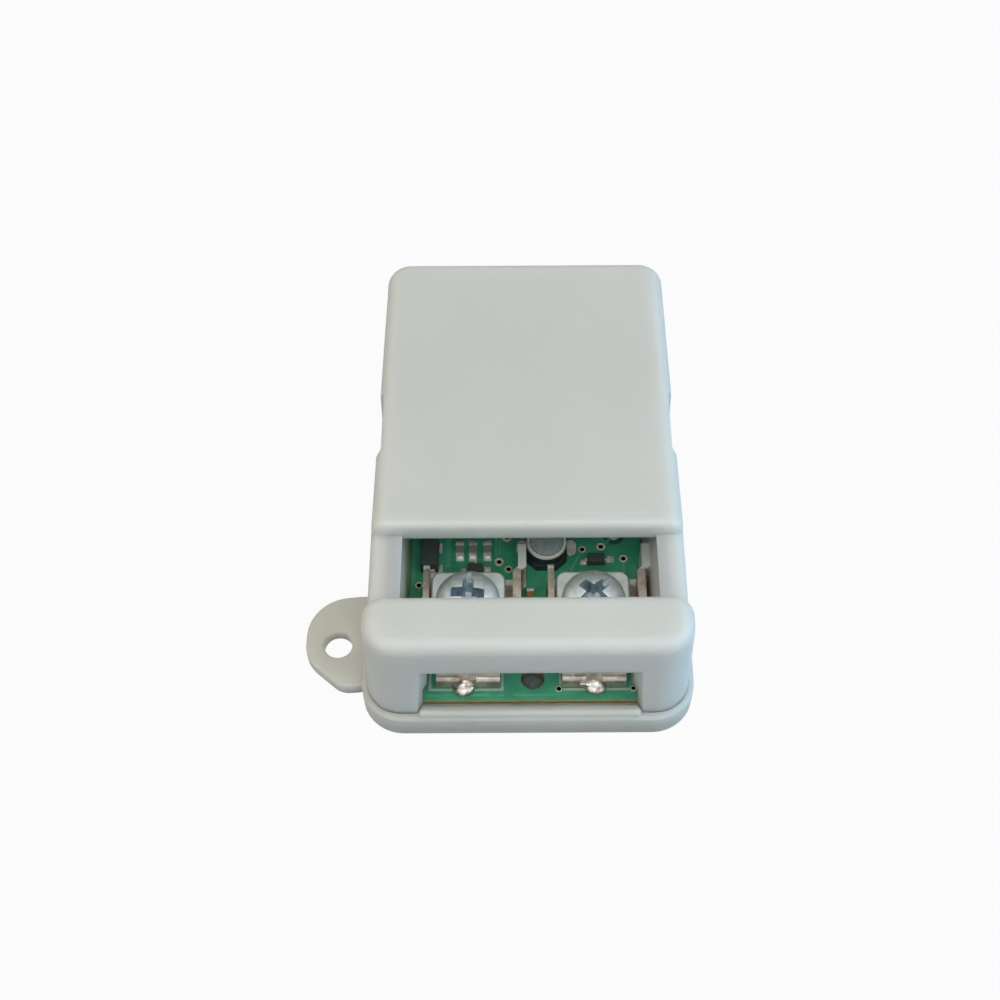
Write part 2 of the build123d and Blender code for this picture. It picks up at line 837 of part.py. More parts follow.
def relay_magnet():
    z = coil_axis_height
    coil_rear = coil_front + coil_length
    flange = bobbin_flange_thick
    flange_left = relay_x - bobbin_width / 2
    flange_right = relay_x + bobbin_width / 2
    foot_left = relay_x - bobbin_foot_width / 2
    foot_right = relay_x + bobbin_foot_width / 2
    with BuildPart() as bobbin:
        rod(relay_x, z, coil_front - flange, coil_rear + flange, bobbin_tube_radius)
        for y in (coil_front - flange, coil_rear):
            block(flange_left, flange_right, y, y + flange, bobbin_foot, hinge_z - bobbin_gap)
        block(foot_left, foot_right, coil_rear, coil_rear + flange, relay_base_top, bobbin_foot)
        rod(relay_x, z, coil_front - flange, coil_rear + flange, core_radius, mode=Mode.SUBTRACT)
    write(bobbin.part, "relay_bobbin")

    with BuildPart() as winding:
        rod(relay_x, z, coil_front, coil_rear, coil_radius)
        rod(relay_x, z, coil_front, coil_rear, bobbin_tube_radius, mode=Mode.SUBTRACT)
    write(winding.part, "relay_coil")

    with BuildPart() as core:
        rod(relay_x, z, pole_face + pole_thick, yoke_rear + yoke_thick, core_radius)
        rod(relay_x, z, pole_face, pole_face + pole_thick, pole_radius)
    write(core.part, "relay_core")

    with BuildPart() as yoke:
        with BuildSketch(Plane.YZ.offset(relay_x - yoke_width / 2)):
            with BuildLine():
                Polyline(
                    (hinge_y, yoke_top),
                    (hinge_y, yoke_top - yoke_thick),
                    (yoke_rear, yoke_top - yoke_thick),
                    (yoke_rear, relay_base_top),
                    (yoke_rear + yoke_thick, relay_base_top),
                    (yoke_rear + yoke_thick, yoke_top),
                    close=True,
                )
            make_face()
        extrude(amount=yoke_width)
        rod(relay_x, z, yoke_rear, yoke_rear + yoke_thick, core_radius, mode=Mode.SUBTRACT)
    write(yoke.part, "relay_yoke")


# The armature swings on the yoke's front edge. It is drawn shut, then opened to its rest place.
def relay_armature():
    hinge = Axis((relay_x, hinge_y, hinge_z), (1, 0, 0))
    shut_face = pole_face - air_gap
    with BuildPart() as armature:
        x0 = relay_x - armature_width / 2
        x1 = relay_x + armature_width / 2
        block(x0, x1, shut_face - armature_thick, shut_face, armature_foot, yoke_top - armature_rise)
    write(armature.part.rotate(hinge, -open_angle), "relay_armature")

    with BuildPart() as blade:
        x0 = relay_x - spring_width / 2
        x1 = relay_x + spring_width / 2
        blade_foot = relay_base_top + spring_rise
        block(x0, x1, spring_face - spring_thick, spring_face, blade_foot, hinge_z - spring_drop)
    write(blade.part.rotate(hinge, -open_angle), "relay_contact_spring")

    with BuildPart() as contact:
        rod(relay_x, contact_height, spring_face, spring_face + contact_long, contact_radius)
    write(contact.part.rotate(hinge, -open_angle), "relay_moving_contact")


def relay_fixed_pieces():
    contact_y = spring_face + contact_long + air_gap
    strip_y = contact_y + fixed_contact_long
    with BuildPart() as strip:
        x0 = relay_x - fixed_strip_width / 2
        x1 = relay_x + fixed_strip_width / 2
        strip_top = relay_base_top + fixed_strip_rise
        block(x0, x1, strip_y, strip_y + fixed_strip_thick, relay_base_top, strip_top)
        rod(relay_x, contact_height, contact_y, strip_y, contact_radius)
    write(strip.part, "relay_fixed_contact")

    pins = []
    for x, y in relay_pin_places():
        with BuildPart() as pin:
            disc(x, y, leg_foot, relay_base_top + pin_head, pin_radius)
        pins += [piece for piece in pin.part.solids()]
    write(Compound(children=pins), "relay_pins")


def power_inductor():
    with BuildPart() as core:
        core_foot = board_top + inductor_base_height
        disc(inductor_x, inductor_y, core_foot, board_top + inductor_height, inductor_radius)
        chamfer(core.faces().sort_by(Axis.Z)[-1].edges(), inductor_edge)
    write(core.part, "inductor_core")
    with BuildPart() as base:
        with BuildSketch(Plane.XY.offset(board_top)) as plan:
            with Locations((inductor_x, inductor_y)):
                Rectangle(inductor_base_size, inductor_base_size)
            chamfer(plan.vertices().group_by(Axis.Y)[0], inductor_base_corner)
        extrude(amount=inductor_base_height)
    write(base.part, "inductor_base")


def rectifier_diode():
    with BuildPart() as body:
        with BuildSketch(Plane.XY.offset(board_top + package_standoff)):
            with Locations((diode_x, diode_y)):
                Rectangle(diode_width, diode_length)
        extrude(amount=diode_height, taper=package_taper)
    write(body.part, "rectifier_diode")
    tabs = []
    for end in (-1, 1):
        with BuildPart() as tab:
            foot = diode_y + end * (diode_length / 2 + diode_tab_reach / 2)
            with Locations((diode_x, foot, board_top + diode_tab / 2)):
                Box(diode_tab_width, diode_tab_reach, diode_tab)
            rise = diode_y + end * (diode_length / 2 + diode_tab / 2)
            with Locations((diode_x, rise, board_top + diode_tab_rise / 2)):
                Box(diode_tab_width, diode_tab, diode_tab_rise)
        tabs += [piece for piece in tab.part.solids()]
    write(Compound(children=tabs), "rectifier_diode_tabs")


def end_capped_chip(x, y, width, length, height, cap):
    """A ceramic body lying along Y on the board and the metal cap on each of its ends."""
    middle = length - 2 * cap
    z = board_top + height / 2
    with BuildPart() as body:
        with Locations((x, y, z)):
            Box(width - 2 * chip_skin, middle, height - 2 * chip_skin)
    with BuildPart() as caps:
        for end in (-1, 1):
            with Locations((x, y + end * (middle + cap) / 2, z)):
                Box(width, cap, height)
    return body.part.solids(), caps.part.solids()


def chip_parts():
    bodies = []
    caps = []
    for x in resistor_places:
        chip = end_capped_chip(x, resistor_y, resistor_width, resistor_length, resistor_height, resistor_cap)
        bodies += chip[0]
        caps += chip[1]
    write(Compound(children=bodies), "chip_resistors")
    write(Compound(children=caps), "chip_resistor_ends")
    chip = end_capped_chip(ceramic_x, ceramic_y, ceramic_width, ceramic_length, ceramic_height, ceramic_cap)
    write(Compound(children=chip[0]), "ceramic_capacitor")
    write(Compound(children=chip[1]), "ceramic_capacitor_ends")


def gull_lead(x, y, direction, height):
    """A small bent lead from a body's side at half its height down to the board, along +X, -X, +Y or -Y."""
    dx, dy = direction
    along = lead_reach
    with BuildPart() as lead:
        with BuildSketch(Plane(origin=(x, y, board_top), x_dir=(dx, dy, 0), z_dir=(dy, -dx, 0))):
            with BuildLine():
                Polyline(
                    (0, height),
                    (0, height - lead_thick),
                    (along - lead_foot / 2 - lead_thick, height - lead_thick),
                    (along - lead_foot / 2 - lead_thick, 0),
                    (along + lead_foot / 2, 0),
                    (along + lead_foot / 2, lead_thick),
                    (along - lead_foot / 2, lead_thick),
                    (along - lead_foot / 2, height),
                    close=True,
                )
            make_face()
        extrude(amount=lead_width / 2, both=True)
    return [piece for piece in lead.part.solids()]


def small_package(node, x, y, width, length, height, leads):
    """A moulded package standing just off the board, with its leads as one group."""
    with BuildPart() as body:
        with BuildSketch(Plane.XY.offset(board_top + package_standoff)):
            with Locations((x, y)):
                Rectangle(width, length)
        extrude(amount=height - package_standoff, taper=package_taper)
    write(body.part, node)
    pieces = []
    for lead_x, lead_y, direction in leads:
        pieces += gull_lead(lead_x, lead_y, direction, height / 2)
    write(Compound(children=pieces), f"{node}_leads")


def board_packages():
    rear = transistor_y + transistor_length / 2
    front = transistor_y - transistor_length / 2
    small_package(
        "driver_transistor",
        transistor_x,
        transistor_y,
        transistor_width,
        transistor_length,
        transistor_height,
        [
            (transistor_x, rear, (0, 1)),
            (transistor_x - transistor_lead_offset, front, (0, -1)),
            (transistor_x + transistor_lead_offset, front, (0, -1)),
        ],
    )
    reach = signal_diode_width / 2
    small_package(
        "signal_diode",
        signal_diode_x,
        signal_diode_y,
        signal_diode_width,
        signal_diode_length,
        signal_diode_height,
        [
            (signal_diode_x - reach, signal_diode_y, (-1, 0)),
            (signal_diode_x + reach, signal_diode_y, (1, 0)),
        ],
    )
    leads = []
    for side in (-1, 1):
        for number in range(chip_lead_count):
            lead_y = chip_y + (number - (chip_lead_count - 1) / 2) * chip_lead_pitch
            leads.append((chip_x + side * chip_width / 2, lead_y, (side, 0)))
    small_package("controller_chip", chip_x, chip_y, chip_width, chip_length, chip_height, leads)


def can_and_crystal():
    with BuildPart() as base:
        with BuildSketch(Plane.XY.offset(board_top)) as plan:
            with Locations((capacitor_x, capacitor_y)):
                Rectangle(capacitor_base_size, capacitor_base_size)
            chamfer(plan.vertices().group_by(Axis.Y)[0], capacitor_base_corner)
        extrude(amount=capacitor_base_height)
    write(base.part, "capacitor_base")
    with BuildPart() as can:
        disc(
            capacitor_x,
            capacitor_y,
            board_top + capacitor_base_height,
            board_top + capacitor_height,
            capacitor_radius,
        )
        chamfer(can.faces().sort_by(Axis.Z)[-1].edges(), capacitor_edge)
    write(can.part, "capacitor_can")
    with BuildPart() as crystal:
        with BuildSketch(Plane.XY.offset(board_top)):
            with Locations((crystal_x, crystal_y)):
                RectangleRounded(crystal_width, crystal_length, crystal_corner)
        extrude(amount=crystal_height)
        chamfer(crystal.faces().sort_by(Axis.Z)[-1].edges(), crystal_edge)
    write(crystal.part, "crystal")


base_tray()
top_cover()
circuit_board()
for side, x in terminal_places.items():
    terminal_bracket(side, x)
    clamp_plate(side, x)
    terminal_screw(side, x)
terminal_solder()
relay_shell()
relay_magnet()
relay_armature()
relay_fixed_pieces()
power_inductor()
rectifier_diode()
chip_parts()
board_packages()
can_and_crystal()
print("screw rise per radian, mm:", round(thread_pitch / (2 * math.pi), 6))
print("armature hinge at y, z:", round(hinge_y, 3), round(hinge_z, 3))
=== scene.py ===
# %% [markdown]
# # Dressing a relay output module
# The solid model gives a moulded case, a circuit board, two screw clamp terminals, a relay and
# the small parts round them. This lesson keeps those solids where they are and gives them the
# finishes and the fine work that a camera sees: satin moulded plastic, a lacquered board with its
# printed lines and plated holes, plated steel screws and hand-made solder joints.

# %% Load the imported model
import math

import bmesh
import bpy
from mathutils import Matrix, Vector


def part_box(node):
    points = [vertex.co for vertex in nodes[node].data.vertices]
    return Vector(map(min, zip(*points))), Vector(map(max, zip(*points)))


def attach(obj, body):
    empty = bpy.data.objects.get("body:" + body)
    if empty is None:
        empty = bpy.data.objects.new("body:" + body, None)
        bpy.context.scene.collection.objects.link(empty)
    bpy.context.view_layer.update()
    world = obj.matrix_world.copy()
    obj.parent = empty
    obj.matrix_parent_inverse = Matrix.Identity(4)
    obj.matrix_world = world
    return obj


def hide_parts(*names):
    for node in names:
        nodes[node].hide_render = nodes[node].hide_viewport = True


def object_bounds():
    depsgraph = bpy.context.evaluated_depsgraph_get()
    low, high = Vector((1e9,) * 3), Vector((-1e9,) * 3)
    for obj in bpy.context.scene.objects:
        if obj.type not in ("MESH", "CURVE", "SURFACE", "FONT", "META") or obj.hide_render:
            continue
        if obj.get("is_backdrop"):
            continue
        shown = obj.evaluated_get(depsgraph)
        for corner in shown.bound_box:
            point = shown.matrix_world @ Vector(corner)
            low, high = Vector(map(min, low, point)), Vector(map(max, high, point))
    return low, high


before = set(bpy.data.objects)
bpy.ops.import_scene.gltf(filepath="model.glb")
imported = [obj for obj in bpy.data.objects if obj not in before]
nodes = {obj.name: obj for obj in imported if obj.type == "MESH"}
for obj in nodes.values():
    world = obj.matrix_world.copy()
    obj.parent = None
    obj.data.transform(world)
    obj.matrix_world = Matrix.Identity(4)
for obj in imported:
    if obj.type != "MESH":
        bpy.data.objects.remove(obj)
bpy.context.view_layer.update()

MM = 0.001
MERGE_WITHIN = 0.0005 * MM

# %% [markdown]
# ## The camera
# The photograph looks down on the module from the front at about 56 degrees. A long lens this far
# away keeps the case's sides almost parallel, so the picture's perspective is faint but there. The
# tilt is counted from straight down, and the shift moves the picture without turning the camera.

# %% Camera
CAMERA_PLACE = Vector((-1.25, -113.9, 177.5)) * MM
CAMERA_TILT = 33.6
CAMERA_LENS = 57.42
CAMERA_ROLL = -0.3
CAMERA_SHIFT = -0.0165

camera_data = bpy.data.cameras.new("camera")
camera_data.lens = CAMERA_LENS
camera_data.sensor_width = 36
camera_data.shift_x = CAMERA_SHIFT
camera_data.clip_start = 0.005
camera_data.clip_end = 20
camera = bpy.data.objects.new("camera", camera_data)
camera.matrix_world = (
    Matrix.Translation(CAMERA_PLACE)
    @ Matrix.Rotation(math.radians(CAMERA_TILT), 4, "X")
    @ Matrix.Rotation(math.radians(CAMERA_ROLL), 4, "Z")
)
bpy.context.scene.collection.objects.link(camera)
bpy.context.scene.camera = camera
bpy.context.scene.view_settings.view_transform = "Standard"
print("camera in mm:", [round(c / MM, 1) for c in CAMERA_PLACE])

# %% [markdown]
# ## Helpers for materials
# Colours are written as the sRGB hex codes of a paint chart, so one function turns them to the
# linear numbers that the shaders use. Another adds a shader node with its settings and its links.

# %% Colour and node helpers
def linear(code):
    """An sRGB hex colour as linear red, green, blue and alpha."""
    parts = [int(code[place:place + 2], 16) / 255 for place in (1, 3, 5)]
    return [p / 12.92 if p <= 0.04045 else ((p + 0.055) / 1.055) ** 2.4 for p in parts] + [1.0]


def add_node(tree, kind, settings=None, links=None):
    """Adds a shader node. Settings are its properties or its sockets' values, links its inputs."""
    made = tree.nodes.new(kind)
    for name, value in (settings or {}).items():
        if isinstance(name, str) and hasattr(made, name):
            setattr(made, name, value)
        else:
            made.inputs[name].default_value = value
    for name, source in (links or {}).items():
        tree.links.new(source, made.inputs[name])
    return made


def new_material(name, settings):
    """A material with one Principled shader, and the coordinates of the piece in metres."""
    material = bpy.data.materials.new(name)
    material.use_nodes = True
    tree = material.node_tree
    tree.nodes.clear()
    shader = add_node(tree, "ShaderNodeBsdfPrincipled", settings)
    add_node(tree, "ShaderNodeOutputMaterial", links={"Surface": shader.outputs["BSDF"]})
    place = add_node(tree, "ShaderNodeTexCoord").outputs["Object"]
    return material, tree, shader, place


print("a mid grey in linear light:", round(linear("#808080")[0], 3))

# %% [markdown]
# ## The case plastic
# The case is injection moulded from an unpigmented engineering plastic. It is milky, lets a little
# light into it, and has the satin skin of a spark-eroded mould. The grain of such a mould is about
# 0.1 mm, too fine to show at this distance, so it is drawn at 0.35 mm with very little depth. Broad
# faint clouds of 18 mm are the flow of the melt, and 9 mm waves are where the walls sank as they set.

# %% Moulded natural plastic
def moulded_plastic(name, colour, shade):
    """Milky satin plastic that clouds from one colour to a shade of it."""
    material, tree, shader, place = new_material(
        name,
        {
            "Roughness": 0.45,
            "IOR": 1.5,
            "Subsurface Weight": 1.0,
            "Subsurface Radius": (1.0, 0.97, 0.92),
            "Subsurface Scale": 5 * MM,
        },
    )
    cloud = add_node(tree, "ShaderNodeTexNoise", {"Scale": 1 / (18 * MM), "Detail": 3.0}, {"Vector": place})
    flow = add_node(
        tree, "ShaderNodeMapRange", {"From Min": 0.35, "From Max": 0.65}, {"Value": cloud.outputs["Fac"]}
    )
    colours = add_node(
        tree,
        "ShaderNodeMix",
        {"data_type": "RGBA", 6: linear(shade), 7: linear(colour)},
        {0: flow.outputs["Result"]},
    )
    tree.links.new(colours.outputs[2], shader.inputs["Base Color"])
    rubbed = add_node(tree, "ShaderNodeTexNoise", {"Scale": 1 / (1.2 * MM)}, {"Vector": place})
    satin = add_node(
        tree,
        "ShaderNodeMapRange",
        {"From Min": 0.3, "From Max": 0.7, "To Min": 0.4, "To Max": 0.52},
        {"Value": rubbed.outputs["Fac"]},
    )
    tree.links.new(satin.outputs["Result"], shader.inputs["Roughness"])
    wave = add_node(tree, "ShaderNodeTexNoise", {"Scale": 1 / (9 * MM), "Detail": 1.0}, {"Vector": place})
    sink = add_node(tree, "ShaderNodeBump", {"Distance": 0.06 * MM}, {"Height": wave.outputs["Fac"]})
    spark = add_node(tree, "ShaderNodeTexNoise", {"Scale": 1 / (0.35 * MM)}, {"Vector": place})
    skin = add_node(
        tree,
        "ShaderNodeBump",
        {"Distance": 0.012 * MM},
        {"Height": spark.outputs["Fac"], "Normal": sink.outputs["Normal"]},
    )
    tree.links.new(skin.outputs["Normal"], shader.inputs["Normal"])
    return material, tree, shader, place


cover_plastic = moulded_plastic("natural_polymer_satin_moulded", "#D9DAD3", "#D5D6CE")[0]
base_plastic, tree, shader, place = moulded_plastic("natural_polymer_base_moulded", "#D5D6CC", "#CFD0C5")
print("case plastics ready")

# %% [markdown]
# The locating peg of the base sits deep in the board's hole, and its shade there is painted on. A sphere
# round the peg's top says where: the distance to it turns into a factor for a second, dark colour, the
# painted shade.

# %% Painted shade on the locating peg
PEG_TOP = Vector((0.6, -24.8, 2.9)) * MM
# The painted shade is full within the core and fades out towards the rim.
PEG_SHADE_CORE, PEG_SHADE_RIM = 1.6 * MM, 2.0 * MM

away = add_node(tree, "ShaderNodeVectorMath", {"operation": "DISTANCE", 1: PEG_TOP}, {0: place})
near = add_node(
    tree,
    "ShaderNodeMapRange",
    {"From Min": PEG_SHADE_RIM, "From Max": PEG_SHADE_CORE},
    {"Value": away.outputs["Value"]},
)
shade_mottle = add_node(tree, "ShaderNodeTexNoise", {"Scale": 1 / (0.35 * MM), "Detail": 3.0}, {"Vector": place})
# Painted shade: two dark grey-greens, mottled, laid on the peg's top in its hole.
painted_peg_shade = add_node(
    tree,
    "ShaderNodeMix",
    {"data_type": "RGBA", 6: linear("#4A5D55"), 7: linear("#8C9F93")},
    {0: shade_mottle.outputs["Fac"]},
)
bare = shader.inputs["Base Color"].links[0].from_socket
peg = add_node(
    tree,
    "ShaderNodeMix",
    {"data_type": "RGBA"},
    {0: near.outputs["Result"], 6: bare, 7: painted_peg_shade.outputs[2]},
)
tree.links.new(peg.outputs[2], shader.inputs["Base Color"])
print("peg darkened at", [round(c / MM, 1) for c in PEG_TOP])

# %% [markdown]
# ## The board's lacquer
# A circuit board is glass cloth in epoxy with copper tracks, under a green lacquer called solder
# mask. Over copper the lacquer looks lighter, over bare laminate darker. The glass cloth's threads
# are 0.45 mm apart and show as a faint relief. The lacquer is rolled on, so it clouds over 2 mm.

# %% Solder mask
THREAD_SPACING = 0.45 * MM

mask_material, tree, shader, place = new_material(
    "solder_mask_on_glass_epoxy",
    {"Roughness": 0.42, "IOR": 1.52, "Specular IOR Level": 0.35},
)
cloud = add_node(tree, "ShaderNodeTexNoise", {"Scale": 1 / (2.4 * MM), "Detail": 4.0}, {"Vector": place})
tone = add_node(
    tree, "ShaderNodeMapRange", {"From Min": 0.3, "From Max": 0.7}, {"Value": cloud.outputs["Fac"]}
)
lacquer = add_node(
    tree,
    "ShaderNodeMix",
    {"data_type": "RGBA", 6: linear("#3E9973"), 7: linear("#4DB68C")},
    {0: tone.outputs["Result"]},
)
threads = [
    add_node(
        tree,
        "ShaderNodeTexWave",
        {"Scale": 1 / (2 * THREAD_SPACING), "bands_direction": direction},
        {"Vector": place},
    )
    for direction in ("X", "Y")
]
cloth = add_node(
    tree,
    "ShaderNodeMath",
    {"operation": "MULTIPLY"},
    {0: threads[0].outputs["Fac"], 1: threads[1].outputs["Fac"]},
)
relief = add_node(
    tree, "ShaderNodeBump", {"Strength": 0.6, "Distance": 0.008 * MM}, {"Height": cloth.outputs[0]}
)
tree.links.new(relief.outputs["Normal"], shader.inputs["Normal"])
print("board lacquer ready")

# %% [markdown]
# The copper is left out round one large hole, so the lacquer looks darker there. The distance to the
# hole's middle says where, as with the peg's flux, and a darker green is laid over the first one.

# %% Ground without copper
BOARD_TOP = round(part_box("circuit_board")[1].z / MM, 3)
CLEARED = Vector((11.2, -4.3, BOARD_TOP)) * MM
CLEARED_RADIUS, CLEARED_BLUR = 1.34 * MM, 0.08 * MM

away = add_node(tree, "ShaderNodeVectorMath", {"operation": "DISTANCE", 1: CLEARED}, {0: place})
cleared = add_node(
    tree,
    "ShaderNodeMapRange",
    {"From Min": CLEARED_RADIUS + CLEARED_BLUR, "From Max": CLEARED_RADIUS},
    {"Value": away.outputs["Value"]},
)
ground = add_node(
    tree,
    "ShaderNodeMix",
    {"data_type": "RGBA", 7: linear("#256A50")},
    {0: cleared.outputs["Result"], 6: lacquer.outputs[2]},
)
print("no copper round", [round(c / MM, 1) for c in CLEARED])

# %% [markdown]
# The lacquer stops short of the board's front edge, where the brown laminate shows its fibres. The
# place along the board says where, and the fibres themselves make the border ragged. The board's cut
# edges are laminate too: there the face looks sideways.

# %% Bare laminate
LAMINATE_EDGE = -27.62

drawn = add_node(tree, "ShaderNodeMapping", {"Scale": (0.25, 1, 2)}, {"Vector": place})
fibres = add_node(
    tree,
    "ShaderNodeTexNoise",
    {"Scale": 1 / (0.4 * MM), "Detail": 3.0},
    {"Vector": drawn.outputs["Vector"]},
)
laminate = add_node(
    tree,
    "ShaderNodeMix",
    {"data_type": "RGBA", 6: linear("#6F6A3C"), 7: linear("#B5A976")},
    {0: fibres.outputs["Fac"]},
)
edge = add_node(tree, "ShaderNodeSeparateXYZ", links={"Vector": place})
ragged = add_node(
    tree,
    "ShaderNodeMath",
    {"operation": "MULTIPLY_ADD", 1: 0.5 * MM},
    {0: fibres.outputs["Fac"], 2: edge.outputs["Y"]},
)
front = add_node(
    tree,
    "ShaderNodeMapRange",
    {"From Min": (LAMINATE_EDGE + 0.35) * MM, "From Max": (LAMINATE_EDGE + 0.1) * MM},
    {"Value": ragged.outputs[0]},
)
facing = add_node(tree, "ShaderNodeNewGeometry")
upward = add_node(tree, "ShaderNodeSeparateXYZ", links={"Vector": facing.outputs["Normal"]})
flat = add_node(tree, "ShaderNodeMath", {"operation": "ABSOLUTE"}, {0: upward.outputs["Z"]})
sideways = add_node(tree, "ShaderNodeMath", {"operation": "LESS_THAN", 1: 0.5}, {0: flat.outputs[0]})
bare = add_node(
    tree, "ShaderNodeMath", {"operation": "MAXIMUM"}, {0: front.outputs["Result"], 1: sideways.outputs[0]}
)
board_colour = add_node(
    tree,
    "ShaderNodeMix",
    {"data_type": "RGBA"},
    {0: bare.outputs[0], 6: ground.outputs[2], 7: laminate.outputs[2]},
)
tree.links.new(board_colour.outputs[2], shader.inputs["Base Color"])
print("laminate shows in front of y =", LAMINATE_EDGE, "mm")

# %% [markdown]
# ## Plated metals
# The screws and clamp plates are steel with bright zinc plating: bluish, a little milky, with fine
# scratches from the barrel they were plated in. The brackets are brass plated with tin, which is
# warmer and softer. Leads and solder are tin too. Each keeps metal's default IOR. Patches of the
# plating's thickness come from one noise, and fine scratches from one that is stretched fourfold.
# Tin that was heated has a frosted skin, so its last number, the share of bare metal, is below 1.
# To the eye, zinc gives broad soft lights and tin a cream shine. The recess is painted darker and bluer
# than the head: a painted shade and reflection in its hollow.

# %% Metal finishes
def plated_metal(name, colour, shade, rough, patch_mm, scratch_mm, depth_mm, bright=1.0):
    """Metal with patches and scratches. Where bright is below 1, a dull skin shows over it."""
    material, tree, shader, place = new_material(name, {"Metallic": bright})
    patches = add_node(
        tree,
        "ShaderNodeTexNoise",
        {"Scale": 1 / (patch_mm * MM), "Detail": 4.0, "Roughness": 0.6},
        {"Vector": place},
    )
    tone = add_node(
        tree, "ShaderNodeMapRange", {"From Min": 0.35, "From Max": 0.6}, {"Value": patches.outputs["Fac"]}
    )
    colours = add_node(
        tree,
        "ShaderNodeMix",
        {"data_type": "RGBA", 6: linear(shade), 7: linear(colour)},
        {0: tone.outputs["Result"]},
    )
    tree.links.new(colours.outputs[2], shader.inputs["Base Color"])
    drawn = add_node(tree, "ShaderNodeMapping", {"Scale": (1, 4, 1)}, {"Vector": place})
    scratches = add_node(
        tree,
        "ShaderNodeTexNoise",
        {"Scale": 1 / (scratch_mm * MM), "Detail": 3.0},
        {"Vector": drawn.outputs["Vector"]},
    )
    worn = add_node(
        tree,
        "ShaderNodeMapRange",
        {"From Min": 0.3, "From Max": 0.7, "To Min": rough - 0.08, "To Max": rough + 0.1},
        {"Value": scratches.outputs["Fac"]},
    )
    tree.links.new(worn.outputs["Result"], shader.inputs["Roughness"])
    relief = add_node(
        tree, "ShaderNodeBump", {"Distance": depth_mm * MM}, {"Height": scratches.outputs["Fac"]}
    )
    tree.links.new(relief.outputs["Normal"], shader.inputs["Normal"])
    return material


zinc_steel = plated_metal("zinc_plated_steel_barrel_finished", "#DCE6E8", "#C8D4D7", 0.5, 1.6, 0.25, 0.006)
zinc_screw = plated_metal("zinc_plated_screw_cold_headed", "#DDE5E6", "#C0CCD0", 0.5, 1.2, 0.2, 0.006, 0.85)
# The recess's darker blue is a painted shade and reflection in its hollow.
zinc_recess_painted_shade = plated_metal("zinc_plated_recess_painted_shade", "#BCC9CF", "#8A9AA6", 0.45, 0.8, 0.2, 0.006)
tin_brass = plated_metal("tin_plated_sheet_brass", "#C6BBAE", "#9A8D80", 0.36, 1.4, 0.3, 0.01, 0.8)
tin_leads = plated_metal("tin_plated_leads", "#F2EEE2", "#DAD4C6", 0.5, 0.8, 0.2, 0.01, 0.4)
solder_metal = plated_metal("soldered_tin_alloy", "#F3EFE5", "#D5CEC1", 0.45, 0.7, 0.3, 0.01, 0.4)
soft_iron = plated_metal("nickel_plated_soft_iron", "#B9B6AE", "#9B978F", 0.38, 1.5, 0.3, 0.01)
spring_bronze = plated_metal("rolled_spring_bronze", "#C99A58", "#A97B40", 0.3, 1.5, 0.3, 0.005)
contact_silver = plated_metal("silver_alloy_contact", "#D8D6D0", "#BDBAB2", 0.25, 0.6, 0.2, 0.005)
aluminium = plated_metal("drawn_aluminium_can", "#CFD0D0", "#B8BABB", 0.3, 2.0, 0.3, 0.006)
nickel_lid = plated_metal("nickel_plated_lid", "#C6C3B8", "#AAA698", 0.33, 1.5, 0.25, 0.006)
ring_tin = plated_metal("tinned_via_rings", "#F4EDDA", "#D8CEB4", 0.52, 0.5, 0.15, 0.008, 0.6)
copper_wire = plated_metal("enamelled_copper_winding", "#B86A35", "#8E4B20", 0.35, 0.5, 0.12, 0.02)
print("metals ready")

# %% [markdown]
# The rear arm of each bracket, behind its jog, is painted near white: a painted sheen that keeps it bright
# and shiny in the roof's shade. The place along the board says where, and a coarse noise makes the border
# ragged.

# %% Painted sheen on the rear arms
SHEEN_FROM = -13.0
SHEEN_EDGE_LENGTH = 0.8

tree = tin_brass.node_tree
shader = next(n for n in tree.nodes if n.type == "BSDF_PRINCIPLED")
place = add_node(tree, "ShaderNodeTexCoord").outputs["Object"]
along = add_node(tree, "ShaderNodeSeparateXYZ", links={"Vector": place})
sheen_edge_noise = add_node(
    tree, "ShaderNodeTexNoise", {"Scale": 1 / (SHEEN_EDGE_LENGTH * MM), "Detail": 2.0}, {"Vector": place}
)
ragged = add_node(
    tree,
    "ShaderNodeMath",
    {"operation": "MULTIPLY_ADD", 1: SHEEN_EDGE_LENGTH * MM},
    {0: sheen_edge_noise.outputs["Fac"], 2: along.outputs["Y"]},
)
painted_bright = add_node(
    tree,
    "ShaderNodeMapRange",
    {"From Min": (SHEEN_FROM + 0.3) * MM, "From Max": (SHEEN_FROM + 0.6) * MM},
    {"Value": ragged.outputs[0]},
)
brass = shader.inputs["Base Color"].links[0].from_socket
# Painted sheen: near white on the rear arms.
sheen_colour = add_node(
    tree,
    "ShaderNodeMix",
    {"data_type": "RGBA", 7: linear("#F4F6F7")},
    {0: painted_bright.outputs["Result"], 6: brass},
)
tree.links.new(sheen_colour.outputs[2], shader.inputs["Base Color"])
print("arms dipped behind y =", SHEEN_FROM, "mm")

# %% [markdown]
# ## Dark package materials
# Black epoxy packages are pressed at high pressure and come out matt, with a fine grain. Moulded
# black plastic is smoother. The inductor's drum is ferrite under a grey-green lacquer, and chip
# resistors have a grey glaze over a film on white ceramic. One noise gives each its lumps in colour,
# in gloss and in relief, so a darker spot is also a smoother hollow.

